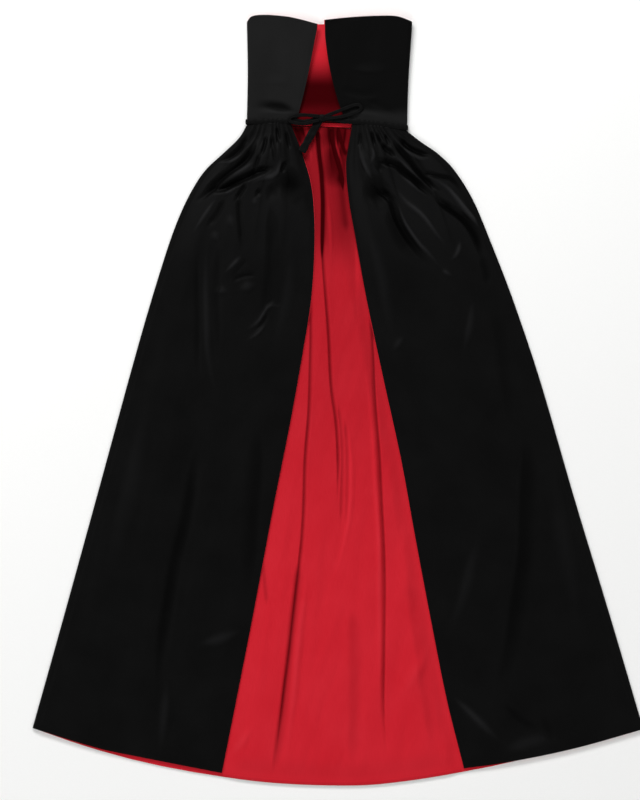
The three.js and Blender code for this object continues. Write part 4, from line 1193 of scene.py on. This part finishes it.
def satin(name, dark, light, painted_shade_colour, painted_highlight, rough, specular, streak=0.35, mapped=True):
    """A smooth cloth or thread: its own two tones, and the colours of painted shade in folds and
    of a painted highlight on crests.
    """
    material = bpy.data.materials.new(name)
    material.use_nodes = True
    tree = material.node_tree
    shader = tree.nodes["Principled BSDF"]
    shader.inputs["Specular IOR Level"].default_value = specular
    if mapped:
        place = link_new(tree, "ShaderNodeUVMap", {"uv_map": "grain"})
        source = (place, "UV")
    else:
        place = link_new(tree, "ShaderNodeTexCoord")
        source = (place, "Object")
    wide, long = 1 / (STREAK_WIDE * MM), 1 / (STREAK_LONG * MM)
    drawn = link_new(
        tree, "ShaderNodeMapping", {"Scale": (wide, long, wide)}, {"Vector": source}
    )
    floats = link_new(
        tree, "ShaderNodeTexNoise", {"Scale": 1.0, "Detail": 3.0}, {"Vector": (drawn, "Vector")}
    )
    cloud = link_new(
        tree, "ShaderNodeTexNoise", {"Scale": 1000 / CLOUD, "Detail": 2.0}, {"Vector": source}
    )
    both = link_new(
        tree,
        "ShaderNodeMix",
        {"data_type": "FLOAT", "Factor": streak},
        {"A": (cloud, "Fac"), "B": (floats, "Fac")},
    )
    dye = link_new(tree, "ShaderNodeValToRGB", links={"Fac": (both, "Result")})
    dye.color_ramp.elements[0].position, dye.color_ramp.elements[1].position = 0.3, 0.7
    dye.color_ramp.elements[0].color, dye.color_ramp.elements[1].color = srgb(dark), srgb(light)
    gloss = link_new(
        tree,
        "ShaderNodeMapRange",
        {"From Min": 0.3, "From Max": 0.7, "To Min": rough - 0.04, "To Max": rough + 0.05},
        {"Value": (both, "Result")},
    )
    relief = link_new(
        tree,
        "ShaderNodeBump",
        {"Strength": 0.12, "Distance": 0.0002},
        {"Height": (floats, "Fac")},
    )
    # The painted shade on each piece: above 0 it mixes in the colour of the fold's painted shade
    depth = link_new(tree, "ShaderNodeAttribute", {"attribute_name": "shade"})
    shaded = link_new(
        tree,
        "ShaderNodeMix",
        {"data_type": "RGBA"},
        {"Factor": (depth, "Fac"), MIX_A: (dye, "Color")},
    )
    shaded.inputs[MIX_B].default_value = srgb(painted_shade_colour)
    # and below 0 it mixes in the colour of a crest's painted highlight
    crest = link_new(
        tree, "ShaderNodeMath", {"operation": "MULTIPLY", 1: -1.0}, {0: (depth, "Fac")}
    )
    highlighted = link_new(
        tree,
        "ShaderNodeMix",
        {"data_type": "RGBA"},
        {"Factor": (crest, "Value"), MIX_A: (shaded, MIX_OUT)},
    )
    highlighted.inputs[MIX_B].default_value = srgb(painted_highlight)
    tree.links.new(highlighted.outputs[MIX_OUT], shader.inputs["Base Color"])
    tree.links.new(gloss.outputs["Result"], shader.inputs["Roughness"])
    tree.links.new(relief.outputs["Normal"], shader.inputs["Normal"])
    return material


# Woven polyester satin, piece-dyed black: soft and dark, with painted shade in its folds and a
# painted highlight on its crests
BLACK_SATIN = satin("black_satin", "#0A0A0A", "#0E0E0E", "#010101", "#282829", 0.5, 0.03)
# The same with an interlining fused behind it, for the collar: a little flatter, and lighter than
# the body's satin, which is painted light, as on the flap that faces the light
STIFF_SATIN = satin(
    "black_satin_interlined", "#171717", "#1B1B1B", "#080808", "#262627", 0.6, 0.03
)
# Woven polyester satin, piece-dyed red: a strong dye under a faint sheen, with painted shade in
# its folds and a painted highlight on its crests
RED_SATIN = satin(
    "red_satin", "#C21E2A", "#CA2632", "#350003", "#DA3C48", 0.5, 0.015, streak=0.5
)
# Polyester sewing thread, twisted and waxed, dyed to match
BLACK_THREAD = satin(
    "black_thread", "#050505", "#080808", "#020202", "#080808", 0.7, 0.04, mapped=False
)
RED_THREAD = satin(
    "red_thread", "#AE161E", "#BA1A24", "#3A0004", "#BA1A24", 0.6, 0.05, mapped=False
)
print("materials:", [material.name for material in bpy.data.materials])

# %% [markdown]
# Seam lines
#
# A line of stitches lies on a panel's own points, so it is read from the panel's mesh: a straight
# look down from above finds the height at each place on the line. Each line is given in plan.

# %% Seam lines
SEAM_STEP = 6
EDGE_SEAM = 6  # from an edge to its row of stitches
EDGE_SEAM_TOP = 9  # from the edge's top to the row's first stitch
HEM_SEAM = 11
BAND_SEAM = 1.6
COLLAR_SEAM_FOOT = 8
COLLAR_CORNER_Y = 790  # where the row turns from the collar's edge to its top


def lie_on(piece, plan):
    """Points in metres on the top of a piece, at places in plan given in mm."""
    found = []
    for x, y in plan:
        start = Vector((x * MM, y * MM, 0.2))
        hit, place, _, _ = piece.ray_cast(start, Vector((0, 0, -1)))
        if hit:
            found.append(tuple(place))
    return found


def down_edge(front):
    top, foot = front.edge.rows[0][0] - EDGE_SEAM_TOP, front.edge.rows[-1][0] + HEM_SEAM
    y = np.arange(top, foot, -SEAM_STEP)
    return np.stack([front.edge(y) - front.away * EDGE_SEAM, y], axis=-1)


def along(line, start, end, off, step=SEAM_STEP):
    """A row of places beside a hem or the neck's seam."""
    x = np.arange(start, end, step)
    return np.stack([x, line(x) + off], axis=-1)


def collar_edges(edge, top, side, past):
    y = np.arange(COLLAR_FOOT_Y + COLLAR_SEAM_FOOT, COLLAR_CORNER_Y, SEAM_STEP)
    up = np.stack([edge(y) - side * EDGE_SEAM, y], axis=-1)
    x = np.arange(float(edge(COLLAR_CORNER_Y)) - side * EDGE_SEAM, past, -side * SEAM_STEP)
    return np.concatenate([up, np.stack([x, top(x) - EDGE_SEAM], axis=-1)])


half_band = BAND_WIDTH / 2 - BAND_SEAM
SEAMS = {
    "stitches_right_front": ("front_right_shell", [
        down_edge(RIGHT_FRONT),
        along(RIGHT_HEM, -628, -256, HEM_SEAM),
    ]),
    "stitches_left_front": ("front_left_shell", [
        down_edge(LEFT_FRONT),
        along(LEFT_HEM, 276, 628, HEM_SEAM),
    ]),
    "stitches_back_hem": ("back_lining", [along(BACK_HEM, -236, 258, HEM_SEAM)]),
    "stitches_neckband": ("neckband_shell", [
        along(neck, start, end, off, SEAM_STEP / 2)
        for neck, start, end in ((RIGHT_NECK, -190, -97), (LEFT_NECK, 18, 144))
        for off in (-half_band, half_band)
    ]),
    "stitches_collar": ("collar_shell", [
        collar_edges(COLLAR_RIGHT_EDGE, COLLAR_RIGHT_TOP, 1, -180),
        collar_edges(COLLAR_LEFT_EDGE, COLLAR_LEFT_TOP, -1, 146),
    ]),
}


def sew(name, host, lines, tree):
    """A mesh of stitches along lines that lie on a piece."""
    points, edges = [], []
    for plan in lines:
        line = lie_on(host, plan)
        edges += [(len(points) + i, len(points) + i + 1) for i in range(len(line) - 1)]
        points += line
    mesh = bpy.data.meshes.new(name + "_line")
    mesh.from_pydata(points, edges, [])
    seam = bpy.data.objects.new(name + "_line", mesh)
    bpy.context.collection.objects.link(seam)
    nodes = seam.modifiers.new("sewing", "NODES")
    nodes.node_group = tree
    for item in tree.interface.items_tree:
        if item.name in STITCH:
            nodes[item.identifier] = STITCH[item.name] * MM
    ready = seam.evaluated_get(bpy.context.evaluated_depsgraph_get())
    sewn = bpy.data.meshes.new_from_object(ready)
    sewn.shade_smooth()
    stitches = bpy.data.objects.new(name, sewn)
    bpy.context.collection.objects.link(stitches)
    bpy.data.objects.remove(seam)
    print(name, "faces:", len(sewn.polygons))
    return stitches


bpy.context.view_layer.update()
black_sewing, red_sewing = sewing_tree(BLACK_THREAD), sewing_tree(RED_THREAD)
sewing = {}
for name, (node, lines) in SEAMS.items():
    tree = red_sewing if node.endswith("lining") else black_sewing
    sewing[name] = sew(name, pieces[node], lines, tree)

# %% [markdown]
# Finish of each piece
#
# Every shell now takes its satin, stands for its solid, and rides on the one body. The fronts
# and the back are wider at the neck in the cut than here, because they are gathered.

# %% Finish
STIFF = {"collar_shell": STIFF_SATIN}
for node, piece in pieces.items():
    red = node.endswith("lining")
    piece.data.materials.append(STIFF.get(node, RED_SATIN if red else BLACK_SATIN))
    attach(piece, "root")
    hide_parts(node)
for name, piece in sewing.items():
    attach(piece, "root")

# %% [markdown]
# Floor and light
#
# The floor is plain white paper. The light is a soft studio set: a long bank beyond the collar,
# which lights the upper side of every fold, and weaker banks at the sides and the hem. They all
# stand well out from overhead, so flat cloth stays dark and only what is tilted is lighter.

# %% Floor and light
FLOOR_HALF = 6.0
FLOOR_Z = -0.0005
floor_mesh = bpy.data.meshes.new("floor")
floor_corners = [
    (x * FLOOR_HALF, y * FLOOR_HALF, FLOOR_Z) for x, y in ((-1, -1), (1, -1), (1, 1), (-1, 1))
]
floor_mesh.from_pydata(floor_corners, [], [(0, 1, 2, 3)])
floor = bpy.data.objects.new("floor", floor_mesh)
bpy.context.collection.objects.link(floor)
paper = bpy.data.materials.new("white_paper")
paper.use_nodes = True
paper_shader = paper.node_tree.nodes["Principled BSDF"]
paper_shader.inputs["Roughness"].default_value = 0.9
paper_shader.inputs["Specular IOR Level"].default_value = 0.1
fibre = link_new(paper.node_tree, "ShaderNodeTexCoord")
grain = link_new(
    paper.node_tree, "ShaderNodeTexNoise", {"Scale": 400.0}, {"Vector": (fibre, "Object")}
)
tone = link_new(paper.node_tree, "ShaderNodeValToRGB", links={"Fac": (grain, "Fac")})
tone.color_ramp.elements[0].color = srgb("#F3F3F2")
tone.color_ramp.elements[1].color = srgb("#F8F8F7")
paper.node_tree.links.new(tone.outputs["Color"], paper_shader.inputs["Base Color"])
floor.data.materials.append(paper)


def area_light(name, place, size, power):
    """A soft bank of light that looks at the middle of the cape."""
    light = bpy.data.lights.new(name, "AREA")
    light.shape = "RECTANGLE"
    light.size, light.size_y = size
    light.energy = power
    lamp = bpy.data.objects.new(name, light)
    lamp.location = place
    lamp.rotation_euler = (-Vector(place)).to_track_quat("-Z", "Y").to_euler()
    bpy.context.collection.objects.link(lamp)


area_light("bank_beyond", (-0.9, 3.6, 2.5), (2.8, 1.2), 175)
area_light("bank_left", (-3.4, -0.2, 2.4), (1.4, 2.6), 48)
area_light("bank_right", (3.4, -0.2, 2.4), (1.4, 2.6), 36)
area_light("bank_hem", (0.0, -3.8, 2.5), (2.6, 1.2), 60)
world = bpy.data.worlds.new("studio")
world.use_nodes = True
sky = world.node_tree.nodes["Background"]
sky.inputs["Color"].default_value = (1, 1, 1, 1)
sky.inputs["Strength"].default_value = 0.18
bpy.context.scene.world = world
bpy.context.scene.view_settings.view_transform = "Standard"
print("lights:", [light.name for light in bpy.data.lights])
